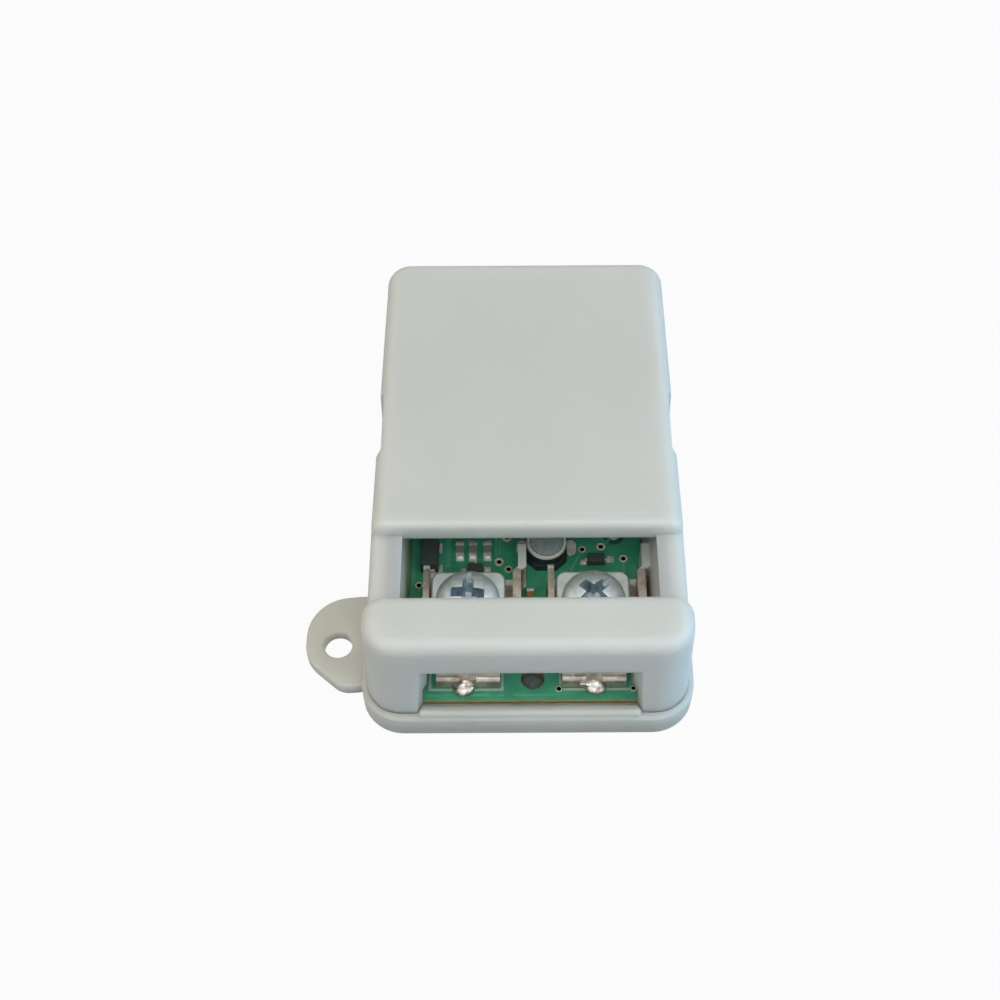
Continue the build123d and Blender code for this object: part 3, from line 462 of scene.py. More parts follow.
# %% Packages, ferrite and glaze
def matt_package(name, colour, shade, rough, grain_mm, depth_mm):
    """Pressed, fired or lacquered stuff whose grain shows in colour, gloss and relief."""
    material, tree, shader, place = new_material(name, {"IOR": 1.5})
    lumps = add_node(
        tree, "ShaderNodeTexNoise", {"Scale": 1 / (grain_mm * MM), "Detail": 3.0}, {"Vector": place}
    )
    tone = add_node(
        tree, "ShaderNodeMapRange", {"From Min": 0.3, "From Max": 0.7}, {"Value": lumps.outputs["Fac"]}
    )
    colours = add_node(
        tree,
        "ShaderNodeMix",
        {"data_type": "RGBA", 6: linear(shade), 7: linear(colour)},
        {0: tone.outputs["Result"]},
    )
    tree.links.new(colours.outputs[2], shader.inputs["Base Color"])
    gloss = add_node(
        tree,
        "ShaderNodeMapRange",
        {"From Min": 0.3, "From Max": 0.7, "To Min": rough - 0.07, "To Max": rough + 0.07},
        {"Value": lumps.outputs["Fac"]},
    )
    tree.links.new(gloss.outputs["Result"], shader.inputs["Roughness"])
    relief = add_node(tree, "ShaderNodeBump", {"Distance": depth_mm * MM}, {"Height": lumps.outputs["Fac"]})
    tree.links.new(relief.outputs["Normal"], shader.inputs["Normal"])
    return material


black_epoxy = matt_package("black_epoxy_transfer_moulded", "#4D5452", "#3E4543", 0.5, 0.2, 0.012)
black_plastic = matt_package("black_plastic_injection_moulded", "#2B2E31", "#1F2225", 0.4, 0.3, 0.008)
relay_plastic = matt_package("relay_cover_black_polyester", "#24272B", "#1B1E21", 0.35, 0.4, 0.008)
bobbin_plastic = matt_package("bobbin_natural_polyester", "#DAD2BC", "#CFC6AE", 0.45, 0.4, 0.008)
ferrite = matt_package("ferrite_drum_black", "#2C3031", "#212425", 0.42, 0.35, 0.015)
drum_lacquer = matt_package("drum_face_grey_lacquer", "#B4C1BB", "#9AA7A1", 0.42, 0.5, 0.012)
resistor_glaze = matt_package("resistor_overglaze", "#A9ACA4", "#8A8D85", 0.3, 0.15, 0.006)
ceramic_body = matt_package("ceramic_capacitor_fired_brown", "#B08352", "#92683D", 0.4, 0.2, 0.01)
ring_resin = matt_package("inductor_rim_cream_resin", "#FBF7EC", "#EAE4D4", 0.35, 0.3, 0.01)
silk_ink = matt_package("screen_print_ink_white", "#C6D6C4", "#9DB9A4", 0.55, 0.12, 0.004)
print("packages ready")

# %% [markdown]
# ## Give the solids their finishes
# Each solid keeps its mesh and only gets a material in its first slot. The ones that a camera sees
# close by are given a finer copy further down.

# %% Assign the finishes
FINISHES = {
    cover_plastic: ["top_cover"],
    base_plastic: ["base_tray"],
    mask_material: ["circuit_board"],
    tin_brass: ["left_terminal_bracket", "right_terminal_bracket"],
    zinc_steel: ["left_clamp_plate", "right_clamp_plate"],
    zinc_screw: ["left_terminal_screw", "right_terminal_screw"],
    solder_metal: ["terminal_solder"],
    black_plastic: ["relay_base", "inductor_base", "capacitor_base"],
    relay_plastic: ["relay_case"],
    bobbin_plastic: ["relay_bobbin"],
    copper_wire: ["relay_coil"],
    soft_iron: ["relay_core", "relay_yoke", "relay_armature"],
    spring_bronze: ["relay_contact_spring"],
    contact_silver: ["relay_moving_contact", "relay_fixed_contact"],
    tin_leads: [
        "relay_pins",
        "rectifier_diode_tabs",
        "chip_resistor_ends",
        "driver_transistor_leads",
        "signal_diode_leads",
        "controller_chip_leads",
        "ceramic_capacitor_ends",
    ],
    ferrite: ["inductor_core"],
    black_epoxy: ["rectifier_diode", "driver_transistor", "signal_diode", "controller_chip"],
    resistor_glaze: ["chip_resistors"],
    ceramic_body: ["ceramic_capacitor"],
    aluminium: ["capacitor_can"],
    nickel_lid: ["crystal"],
}
finish_of = {}
for material, names in FINISHES.items():
    for name in names:
        mesh = nodes[name].data
        mesh.materials.clear()
        mesh.materials.append(material)
        finish_of[name] = material
print(len(finish_of), "solids finished of", len(nodes))

# %% [markdown]
# ## Helpers for new pieces
# A new piece is drawn in a bmesh with operators. When it is ready its doubled points are merged, its
# faces are turned outwards and it is told which body of the model it moves with. Edges sharper than
# 35 degrees stay sharp in the shading and are the ones that a Bevel modifier rounds.

# %% Piece helpers
SHARP = math.radians(35)


def made(name, shape, material, body="case"):
    """Turns a bmesh into a smooth shaded object that moves with a body."""
    bmesh.ops.remove_doubles(shape, verts=shape.verts, dist=MERGE_WITHIN)
    bmesh.ops.recalc_face_normals(shape, faces=shape.faces)
    mesh = bpy.data.meshes.new(name)
    shape.to_mesh(mesh)
    shape.free()
    mesh.shade_smooth()
    mesh.set_sharp_from_angle(angle=SHARP)
    mesh.materials.append(material)
    piece = bpy.data.objects.new(name, mesh)
    bpy.context.scene.collection.objects.link(piece)
    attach(piece, body)
    return piece


def rounded(piece, width_mm, segments=2):
    """Rounds the sharp edges of a piece."""
    bevel = piece.modifiers.new("edge_rounding", "BEVEL")
    bevel.width = width_mm * MM
    bevel.segments = segments
    bevel.limit_method = "ANGLE"
    bevel.angle_limit = SHARP
    bevel.harden_normals = True
    return piece


print("edges sharper than", round(math.degrees(SHARP)), "degrees stay sharp")

# %% [markdown]
# ## Sheet metal and packages with rounded edges
# Sheared sheet, moulded packages and fired chips never have knife edges, and a small rounding is what
# catches the light. The copies below merge the solid's triangles, and a Bevel modifier rounds them.

# %% Rounded copies
FLAT = math.radians(2)


def rounded_copy(node, width_mm, segments=2, body="case"):
    """A merged copy of a solid with rounded edges, shown in the solid's place."""
    shape = bmesh.new()
    shape.from_mesh(nodes[node].data)
    bmesh.ops.remove_doubles(shape, verts=shape.verts, dist=MERGE_WITHIN)
    bmesh.ops.dissolve_limit(shape, angle_limit=FLAT, verts=shape.verts, edges=shape.edges)
    piece = rounded(made(node + "_finished", shape, finish_of[node], body), width_mm, segments)
    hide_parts(node)


# Solid, rounding in millimetres, segments of the rounding, body
ROUNDED = [
    ("left_terminal_bracket", 0.14, 3, "case"),
    ("right_terminal_bracket", 0.14, 3, "case"),
    ("left_clamp_plate", 0.24, 3, "left_clamp"),
    ("right_clamp_plate", 0.24, 3, "right_clamp"),
    ("rectifier_diode", 0.12, 2, "case"),
    ("rectifier_diode_tabs", 0.06, 2, "case"),
    ("driver_transistor", 0.1, 2, "case"),
    ("driver_transistor_leads", 0.04, 2, "case"),
    ("signal_diode", 0.1, 2, "case"),
    ("signal_diode_leads", 0.04, 2, "case"),
    ("chip_resistors", 0.03, 2, "case"),
    ("chip_resistor_ends", 0.08, 2, "case"),
    ("ceramic_capacitor", 0.05, 2, "case"),
    ("ceramic_capacitor_ends", 0.1, 2, "case"),
    ("inductor_base", 0.12, 2, "case"),
]
for node, width, segments, body in ROUNDED:
    rounded_copy(node, width, segments, body)
print(len(ROUNDED), "solids shown with rounded edges")

# %% [markdown]
# ## Clamp screws
# The clamp screws are cold headed M4 screws with a combined slot and cross recess, and a rolled
# thread that climbs 0.7 mm a turn. The finished screws stand in for the solid ones, so they have the
# same place, sizes and turn of the recess.

# %% Screw sizes
# Place across the front, and turn of the recess in degrees
TERMINALS = {"left": (-7.2, 86), "right": (8.0, 45)}
SCREW_Y = -17.4
HEAD_FOOT, HEAD_RIM, HEAD_TOP = 9.75, 10.65, 12.5
HEAD_RADIUS, SHANK_RADIUS, CORE_RADIUS = 3.85, 1.95, 1.62
SCREW_TIP, THREAD_PITCH = 3.8, 0.7
print("screws from z =", SCREW_TIP, "to", HEAD_TOP, "mm")

# %% [markdown]
# Head and core are round, so they are one profile spun once round an upright axis. The head's crown
# is a quarter of an ellipse. Plated holes and the inductor's rim are turned the same way.

# %% Screw body
CROWN_STEPS = 14


def turned(shape, profile, x, y, steps=32):
    """Turns a profile of (radius, height) points in millimetres once round an upright axis."""
    points = [shape.verts.new(Vector((x + r, y, z)) * MM) for r, z in profile]
    lines = [shape.edges.new(pair) for pair in zip(points, points[1:])]
    bmesh.ops.spin(
        shape,
        geom=points + lines,
        cent=Vector((x, y, 0)) * MM,
        axis=(0, 0, 1),
        angle=2 * math.pi,
        steps=steps,
        use_merge=True,
    )


def screw_body(x):
    """Head and core of a screw, as one turned shape."""
    crown = [
        (HEAD_RADIUS * math.cos(turn), HEAD_RIM + (HEAD_TOP - HEAD_RIM) * math.sin(turn))
        for turn in [math.pi / 2 * step / CROWN_STEPS for step in range(CROWN_STEPS + 1)]
    ]
    crown[-1] = (0, HEAD_TOP)
    profile = [
        (0, SCREW_TIP),
        (CORE_RADIUS - 0.3, SCREW_TIP),
        (CORE_RADIUS, SCREW_TIP + 0.3),
        (CORE_RADIUS, HEAD_FOOT),
        (HEAD_RADIUS - 0.25, HEAD_FOOT),
        (HEAD_RADIUS - 0.07, HEAD_FOOT + 0.07),
        (HEAD_RADIUS, HEAD_FOOT + 0.25),
    ] + crown
    shape = bmesh.new()
    turned(shape, profile, x, SCREW_Y, 64)
    return shape


print("crown drawn in", CROWN_STEPS, "steps")

# %% [markdown]
# A thread is rolled between dies, which press its ridge out of the shank. Here the ridge is a small
# face, let a little into the core, that is spun round it and climbs one pitch a turn.

# %% Thread
STEPS_A_TURN = 24


def thread(x):
    """The rolled thread: a small ridge that turns and climbs."""
    shape = bmesh.new()
    foot = SCREW_TIP + 0.35
    corners = [
        (CORE_RADIUS - 0.1, 0.0),
        (SHANK_RADIUS, 0.28),
        (SHANK_RADIUS, 0.36),
        (CORE_RADIUS - 0.1, 0.64),
    ]
    points = [shape.verts.new(Vector((x + r, SCREW_Y, foot + z)) * MM) for r, z in corners]
    face = shape.faces.new(points)
    turns = (HEAD_FOOT - foot - THREAD_PITCH) / THREAD_PITCH
    steps = round(turns * STEPS_A_TURN)
    bmesh.ops.spin(
        shape,
        geom=[face] + face.edges[:] + face.verts[:],
        cent=Vector((x, SCREW_Y, 0)) * MM,
        axis=(0, 0, 1),
        dvec=Vector((0, 0, turns * THREAD_PITCH / steps)) * MM,
        angle=2 * math.pi * turns,
        steps=steps,
        use_merge=False,
    )
    return shape


print("thread drawn in", STEPS_A_TURN, "steps a turn")

# %% [markdown]
# A punch leaves a cross whose wings taper to their foot, with a slot across it. Wings and slot are
# tapered blocks that stand in the head's top, and one boolean takes them out. The exact solver is
# used, because the three blocks cross each other.

# %% Recess and finished screws
# Length, width and depth of each wing and of the slot, with how far its foot narrows either way
WING = (4.9, 1.5, 1.9, 0.42, 0.5)
SLOT = (8.4, 0.62, 0.75, 1.0, 0.9)


def recess_cutter(x, turn):
    """Two crossed tapered wings and a slot, standing in the top of the head."""
    shape = bmesh.new()
    head_top = Matrix.Translation(Vector((x, SCREW_Y, HEAD_TOP)) * MM)
    for quarter, (length, width, depth, foot_length, foot_width) in ((0, WING), (90, WING), (0, SLOT)):
        wing = bmesh.ops.create_cube(shape, size=1)["verts"]
        bmesh.ops.scale(shape, verts=wing, vec=Vector((length, width, depth + 0.4)) * MM)
        low = [v for v in wing if v.co.z < 0]
        bmesh.ops.scale(shape, verts=low, vec=(foot_length, foot_width, 1))
        bmesh.ops.translate(shape, verts=wing, vec=Vector((0, 0, 0.2 - depth / 2)) * MM)
        turned_wing = Matrix.Rotation(math.radians(turn + quarter), 4, "Z")
        bmesh.ops.transform(shape, matrix=head_top @ turned_wing, verts=wing)
    return shape


def carve(piece, shape):
    """Cuts a bmesh out of a piece for good. The new walls get the recess's darker, bluer colour, a painted
    shade.
    """
    mesh = bpy.data.meshes.new("cutter")
    shape.to_mesh(mesh)
    shape.free()
    mesh.materials.append(zinc_recess_painted_shade)
    cutter = bpy.data.objects.new("cutter", mesh)
    bpy.context.scene.collection.objects.link(cutter)
    cut = piece.modifiers.new("cut", "BOOLEAN")
    cut.object = cutter
    cut.operation = "DIFFERENCE"
    cut.solver = "EXACT"
    cut.use_self = True
    cut.material_mode = "TRANSFER"
    carved = bpy.data.meshes.new_from_object(piece.evaluated_get(bpy.context.evaluated_depsgraph_get()))
    piece.modifiers.clear()
    carved.name = piece.name
    piece.data = carved
    bpy.data.objects.remove(cutter)


for side, (x, turn) in TERMINALS.items():
    screw = made(side + "_clamp_screw", screw_body(x), zinc_screw, side + "_screw")
    carve(screw, recess_cutter(x, turn))
    rounded(screw, 0.07)
    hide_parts(side + "_terminal_screw")
    made(side + "_screw_thread", thread(x), zinc_screw, side + "_screw")
    print(side, "screw has", len(screw.data.polygons), "faces")

# %% [markdown]
# ## Solder on the terminal tabs
# Each bracket's front leg is soldered by hand from the front. The tin is bright where it flowed clean
# and brown in small pools where flux has burnt, so two colours follow one noise of 0.9 mm.

# %% Finish of the drops
soldered, tree, shader, place = new_material(
    "hand_soldered_tin_with_flux", {"Metallic": 1.0, "Roughness": 0.3}
)
pools = add_node(tree, "ShaderNodeTexNoise", {"Scale": 1 / (0.9 * MM)}, {"Vector": place})
clean = add_node(
    tree, "ShaderNodeMapRange", {"From Min": 0.38, "From Max": 0.52}, {"Value": pools.outputs["Fac"]}
)
colours = add_node(
    tree,
    "ShaderNodeMix",
    {"data_type": "RGBA", 6: linear("#A8917C"), 7: linear("#DAD5D0")},
    {0: clean.outputs["Result"]},
)
tree.links.new(colours.outputs[2], shader.inputs["Base Color"])
frost = add_node(tree, "ShaderNodeTexNoise", {"Scale": 1 / (0.5 * MM), "Detail": 3.0}, {"Vector": place})
relief = add_node(tree, "ShaderNodeBump", {"Distance": 0.004 * MM}, {"Height": frost.outputs["Fac"]})
tree.links.new(relief.outputs["Normal"], shader.inputs["Normal"])
print("solder finish ready")

# %% [markdown]
# A solder joint is a drop that has wetted its pad and cooled: round, with a skirt, and the right one
# was pulled to the left as the iron left. Balls are joined by a voxel remesh and smoothed, which
# gives the soft meeting of liquid shapes.

# %% Solder drops
VOXEL = 0.07


def solder_drop(name, balls, material):
    """Balls given by centre, size and stretch in millimetres, melted into one drop."""
    shape = bmesh.new()
    for (x, y, z), radius, (wide, deep, tall) in balls:
        ball = bmesh.ops.create_icosphere(shape, subdivisions=3, radius=radius * MM)["verts"]
        bmesh.ops.scale(shape, verts=ball, vec=(wide, deep, tall))
        bmesh.ops.translate(shape, verts=ball, vec=Vector((x, y, z)) * MM)
    drop = made(name, shape, material)
    melt = drop.modifiers.new("melted", "REMESH")
    melt.mode = "VOXEL"
    melt.voxel_size = VOXEL * MM
    melt.use_smooth_shade = True
    smooth = drop.modifiers.new("cooled", "SMOOTH")
    smooth.iterations = 6
    smooth.factor = 0.6
    return drop


left_balls = [
    ((-7.72, -26.2, 4.85), 1.32, (1.05, 0.95, 0.62)),
    ((-7.7, -26.1, 5.25), 0.98, (1.0, 0.9, 0.9)),
    ((-7.5, -25.95, 5.85), 0.5, (1.5, 0.6, 0.9)),
    ((-6.85, -26.15, 5.45), 0.42, (1.0, 0.8, 1.0)),
]
right_balls = [
    ((8.2, -26.15, 4.8), 1.2, (1.15, 0.9, 0.6)),
    ((8.3, -26.05, 5.15), 0.86, (1.15, 0.9, 0.9)),
    ((7.4, -26.15, 5.3), 0.46, (1.7, 0.8, 0.8)),
    ((6.7, -26.15, 5.45), 0.3, (1.5, 0.9, 0.9)),
    ((6.4, -26.15, 5.5), 0.29, (1.1, 1.0, 1.0)),
    ((8.0, -25.95, 5.85), 0.42, (1.6, 0.55, 0.8)),
]
left_joint = solder_drop("left_solder_joint", left_balls, soldered)
right_joint = solder_drop("right_solder_joint", right_balls, soldered)
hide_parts("terminal_solder")
print("solder drops at", [ball[0][:2] for ball in (left_balls[0], right_balls[0])])

# %% [markdown]
# ## Plated holes
# A via is a drilled hole whose wall is plated with copper and tin. On the board's face it ends in a flat
# ring that the lacquer leaves free, and on the underside the lacquer closes it. The ring and the closed
# barrel are two turned shapes, because the barrel's wall is painted nearly black: a painted shade for the
# depth of the hole.

# %% Vias
# Place and ring radius, in millimetres
VIAS = [
    (-2.5, -4.5, 0.68),
    (-3.5, -8.2, 0.6),
    (-2.3, -9.3, 0.48),
    (-13.6, -11.6, 0.48),
    (7.1, -6.4, 0.48),
    (9.5, -6.0, 0.58),
    (11.2, -4.3, 0.7),
    (12.3, -7.8, 0.55),
    (3.75, -26.2, 0.42),
    (12.75, -26.2, 0.42),
]
VIA_BORE, BARREL_RADIUS = 0.3, 0.345
BARREL_FOOT, BARREL_FLOOR = BOARD_TOP - 1.58, BOARD_TOP - 1.5
LAND_FOOT, LAND_TOP = BOARD_TOP + 0.004, BOARD_TOP + 0.045

# The barrel's near-black colour is a painted shade for the depth of the hole.
shaded_bore_copper = plated_metal("via_barrel_painted_shade_copper", "#4A4034", "#2E2822", 0.5, 0.4, 0.15, 0.008)
rings = bmesh.new()
barrels = bmesh.new()
for x, y, ring in VIAS:
    land = [
        (VIA_BORE, LAND_FOOT),
        (ring, LAND_FOOT),
        (ring, BOARD_TOP + 0.02),
        (ring - 0.03, LAND_TOP),
        (VIA_BORE + 0.03, LAND_TOP),
        (VIA_BORE, BOARD_TOP + 0.03),
        (VIA_BORE, LAND_FOOT),
    ]
    turned(rings, land, x, y, 28)
    barrel = [
        (0, BARREL_FOOT),
        (BARREL_RADIUS, BARREL_FOOT),
        (BARREL_RADIUS, BOARD_TOP + 0.002),
        (VIA_BORE, BOARD_TOP + 0.002),
        (VIA_BORE, BARREL_FLOOR),
        (0, BARREL_FLOOR),
    ]
    turned(barrels, barrel, x, y, 28)
made("via_rings", rings, ring_tin)
made("via_barrels", barrels, shaded_bore_copper)
print(len(VIAS), "plated holes")

# %% [markdown]
# ## Tracks under the lacquer
# Copper tracks are 0.035 mm thick and stay visible as lighter, slightly raised bands under the
# lacquer. Their green is the board's own made lighter, with clouds of 1.6 mm and shallow dimples.

# %% Lacquer over copper
track_lacquer, tree, shader, place = new_material(
    "solder_mask_over_copper", {"Roughness": 0.42, "IOR": 1.52, "Specular IOR Level": 0.35}
)
cloud = add_node(tree, "ShaderNodeTexNoise", {"Scale": 1 / (1.6 * MM), "Detail": 4.0}, {"Vector": place})
tone = add_node(
    tree, "ShaderNodeMapRange", {"From Min": 0.3, "From Max": 0.7}, {"Value": cloud.outputs["Fac"]}
)
colours = add_node(
    tree,
    "ShaderNodeMix",
    {"data_type": "RGBA", 6: linear("#52A983"), 7: linear("#64C09A")},
    {0: tone.outputs["Result"]},
)
tree.links.new(colours.outputs[2], shader.inputs["Base Color"])
dimples = add_node(tree, "ShaderNodeTexNoise", {"Scale": 1 / (0.5 * MM)}, {"Vector": place})
relief = add_node(tree, "ShaderNodeBump", {"Distance": 0.006 * MM}, {"Height": dimples.outputs["Fac"]})
tree.links.new(relief.outputs["Normal"], shader.inputs["Normal"])
print("track lacquer ready")

# %% [markdown]
# A track is a flat run with round ends: a circle that is pulled apart and extruded to the copper's
# thickness. The printed lines and the bare pads further down are such runs too.

# %% Tracks
def run_of(shape, start, end, width, height):
    """A flat round-ended run between two places, in millimetres."""
    along = Vector(end) - Vector(start)
    ring = bmesh.ops.create_circle(shape, cap_ends=True, segments=16, radius=width / 2 * MM)["verts"]
    bmesh.ops.rotate(shape, verts=ring, cent=(0, 0, 0), matrix=Matrix.Rotation(math.pi / 16, 3, "Z"))
    far = [v for v in ring if v.co.x > 0]
    bmesh.ops.translate(shape, verts=far, vec=(along.length * MM, 0, 0))
    turn = Matrix.Rotation(math.atan2(along.y, along.x), 4, "Z")
    move = Matrix.Translation(Vector((start[0], start[1], BOARD_TOP)) * MM)
    bmesh.ops.transform(shape, matrix=move @ turn, verts=ring)
    face = next(f for f in ring[0].link_faces)
    top = bmesh.ops.extrude_face_region(shape, geom=[face])["geom"]
    raised = [g for g in top if isinstance(g, bmesh.types.BMVert)]
    bmesh.ops.translate(shape, verts=raised, vec=(0, 0, height * MM))


COPPER_THICK = 0.035
# Start, end and width, in millimetres
TRACKS = [
    ((-14.35, -4.0), (-14.35, -22.5), 0.5),
    ((-9.95, -4.0), (-9.95, -8.6), 0.6),
    ((-3.9, -4.0), (-3.9, -7.2), 0.45),
    ((-3.4, -4.0), (-3.4, -7.0), 0.35),
    ((-1.2, -10.2), (-1.2, -22.0), 0.35),
    ((-13.6, -12.3), (-13.6, -15.5), 0.4),
    ((6.8, -7.05), (5.6, -9.5), 0.35),
    ((10.05, -5.45), (10.6, -4.9), 0.4),
    ((12.3, -8.55), (12.3, -12.5), 0.4),
    ((2.2, -13.6), (2.2, -22.0), 0.5),
    ((13.6, -9.0), (13.6, -22.0), 0.5),
    ((-12.6, -27.0), (-3.0, -27.0), 0.35),
    ((2.9, -27.0), (-1.6, -27.0), 0.3),
]
shape = bmesh.new()
for start, end, width in TRACKS:
    run_of(shape, start, end, width, COPPER_THICK)
rounded(made("lacquered_tracks", shape, track_lacquer), 0.015, 1)
print(len(TRACKS), "tracks")

# %% [markdown]
# ## Printed lines
# White ink is screen printed on the lacquer round the terminals. The lines are flat round-ended runs
# like the tracks, but thinner. Near a plated hole they stop short, so that no ink runs into it. Where
# two lines meet, the upright one lies a hair higher, as a second stroke of ink does.

# %% Printed lines
FRAME_LINE, INK_THICK, INK_OVERLAP = 0.34, 0.014, 0.004
# Start, end and extra height, in millimetres
PRINTED = [
    ((-11.85, -26.2), (-11.85, -11.8), INK_OVERLAP),
    ((-11.85, -26.28), (-3.1, -26.28), 0),
    ((-3.1, -26.2), (-3.1, -11.8), INK_OVERLAP),
    ((3.95, -25.55), (3.95, -11.8), 0),
    ((4.4, -26.28), (12.1, -26.28), 0),
    ((12.75, -25.45), (12.75, -11.8), 0),
]
shape = bmesh.new()
for start, end, more in PRINTED:
    run_of(shape, start, end, FRAME_LINE, INK_THICK + more)
made("printed_lines", shape, silk_ink)
print(len(PRINTED), "printed lines")

# %% [markdown]
# ## Solder on the small parts
# Reflowed solder climbs the ends of a chip and slopes down to its pad. Each one is a cube whose top
# is moved towards the chip and narrowed, with bevelled edges, so it reads as a hollow slope.

# %% Solder slopes
def slope(shape, x, y, wide, long, tall, toward):
    """A solder slope on a pad. toward is the way to the part it holds, in the board's plane."""
    block = bmesh.ops.create_cube(shape, size=1)["verts"]
    bmesh.ops.scale(shape, verts=block, vec=Vector((wide, long, tall)) * MM)
    high = [v for v in block if v.co.z > 0]
    bmesh.ops.scale(shape, verts=high, vec=(0.8, 0.3, 1))
    bmesh.ops.translate(shape, verts=high, vec=(0, long * 0.33 * MM, 0))
    edges = list({e for v in block for e in v.link_edges})
    rounds = bmesh.ops.bevel(
        shape, geom=edges, offset=0.07 * MM, offset_type="OFFSET", segments=2, profile=0.5,
        affect="EDGES", material=-1,
    )
    block = list({v for f in rounds["faces"] for v in f.verts} | {v for v in block if v.is_valid})
    turn = Matrix.Rotation(math.atan2(toward[1], toward[0]) - math.pi / 2, 4, "Z")
    move = Matrix.Translation(Vector((x, y, BOARD_TOP + tall / 2 + 0.004)) * MM)
    bmesh.ops.transform(shape, matrix=move @ turn, verts=block)


RESISTORS_X = (-8.5, -6.85, -5.0)
RESISTOR_ENDS = ((-7.75, (0, 1)), (-5.25, (0, -1)))
# Place, width, length, height and the way to the part
SLOPES = [(x, y, 1.1, 0.75, 0.42, toward) for x in RESISTORS_X for y, toward in RESISTOR_ENDS]
SLOPES += [
    (-8.05, -9.5, 0.9, 0.7, 0.2, (1, 0)),
    (-4.95, -9.35, 0.9, 0.9, 0.2, (-1, 0)),
    (10.65, -7.9, 1.0, 1.0, 0.25, (-1, 0)),
    (7.2, -8.4, 0.7, 0.9, 0.2, (1, 0)),
    (0.4, -14.85, 1.1, 0.7, 0.5, (0, 1)),
    (0.4, -12.35, 1.1, 0.7, 0.5, (0, -1)),
    (-12.3, -10.6, 1.6, 0.8, 0.3, (0, 1)),
]
shape = bmesh.new()
for numbers in SLOPES:
    slope(shape, *numbers)
made("solder_slopes", shape, solder_metal)
print(len(SLOPES), "solder slopes")

# %% [markdown]
# Some pads reach out beyond their part. They are tinned but hold no slope, so each is a thicker run
# with a rounded edge.

# %% Bare pads
PAD_THICK = 0.12
# Start, end and width, in millimetres
PADS = [
    ((-10.95, -5.6), (-10.95, -6.75), 0.42),
    ((-10.87, -8.8), (-10.87, -9.75), 0.42),
    ((-11.55, -9.9), (-11.1, -9.5), 0.3),
    ((5.6, -5.75), (5.6, -6.55), 1.5),
    ((-0.55, -5.75), (-0.55, -6.55), 1.5),
]
shape = bmesh.new()
for start, end, width in PADS:
    run_of(shape, start, end, width, PAD_THICK)
rounded(made("bare_pads", shape, solder_metal), 0.05)
print(len(PADS), "pads")

# %% [markdown]
# ## The inductor's face and rim
# The wire drum is wound under a ferrite sleeve and closed by a face of grey-green lacquer, with a
# thin rim of cream resin where the sleeve and the drum meet. Face and rim are two turned profiles on
# the drum's axis. Each lies on the solid drum, whose black side shows below them.

# %% Inductor face and rim
low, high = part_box("inductor_core")
DRUM_X, DRUM_Y = (high.x + low.x) / 2 / MM, (high.y + low.y) / 2 / MM
DRUM_RADIUS, DRUM_TOP = (high.x - low.x) / 2 / MM, high.z / MM
RIM_WIDTH, RIM_DROP = 0.4, 0.42

shape = bmesh.new()
rim = [
    (DRUM_RADIUS - 0.02, DRUM_TOP - RIM_DROP),
    (DRUM_RADIUS + 0.03, DRUM_TOP - RIM_DROP + 0.04),
    (DRUM_RADIUS + 0.03, DRUM_TOP - 0.12),
    (DRUM_RADIUS - 0.01, DRUM_TOP + 0.01),
    (DRUM_RADIUS - 0.1, DRUM_TOP + 0.05),
    (DRUM_RADIUS - 0.22, DRUM_TOP + 0.04),
    (DRUM_RADIUS - RIM_WIDTH, DRUM_TOP - 0.02),
    (DRUM_RADIUS - RIM_WIDTH - 0.04, DRUM_TOP - 0.1),
    (DRUM_RADIUS - 0.02, DRUM_TOP - RIM_DROP),
]
turned(shape, rim, DRUM_X, DRUM_Y, 64)
made("inductor_rim", shape, ring_resin)

shape = bmesh.new()
face = [
    (0, DRUM_TOP - 0.1),
    (DRUM_RADIUS - 0.36, DRUM_TOP - 0.1),
    (DRUM_RADIUS - 0.36, DRUM_TOP - 0.005),
    (DRUM_RADIUS - 0.55, DRUM_TOP + 0.012),
    (DRUM_RADIUS * 0.4, DRUM_TOP + 0.02),
    (0, DRUM_TOP + 0.02),
]
turned(shape, face, DRUM_X, DRUM_Y, 64)
made("inductor_face", shape, drum_lacquer)
print("inductor rim radius in mm:", round(DRUM_RADIUS, 2))

# %% [markdown]
# ## Walls beside the upper window
# Through the window, the camera sees the pale inner walls of the cover beside the board. Each is a
# thin wall under the window's edge, drawn in a little at its foot as moulded walls are. A block is
# scaled to size, its foot is moved inwards, and the window's place comes from the cover's own mesh.
# The walls' colours are painted light. The right wall's plastic is painted paler and cooler, for the
# daylight that shines through the thin wall. The left wall's plastic is painted yellower, for the warm
# light of the room.

# %% Window walls
WALL_FOOT, WALL_THICK, WALL_FRONT, WALL_REAR = 4.3, 0.75, -21.5, -2.5
TROUGH_UNDER = 16.7
WINDOW_FRONT, WINDOW_REAR, WINDOW_REACH = -21, -12.4, 15.9
WALL_BEHIND_EDGE = 0.06

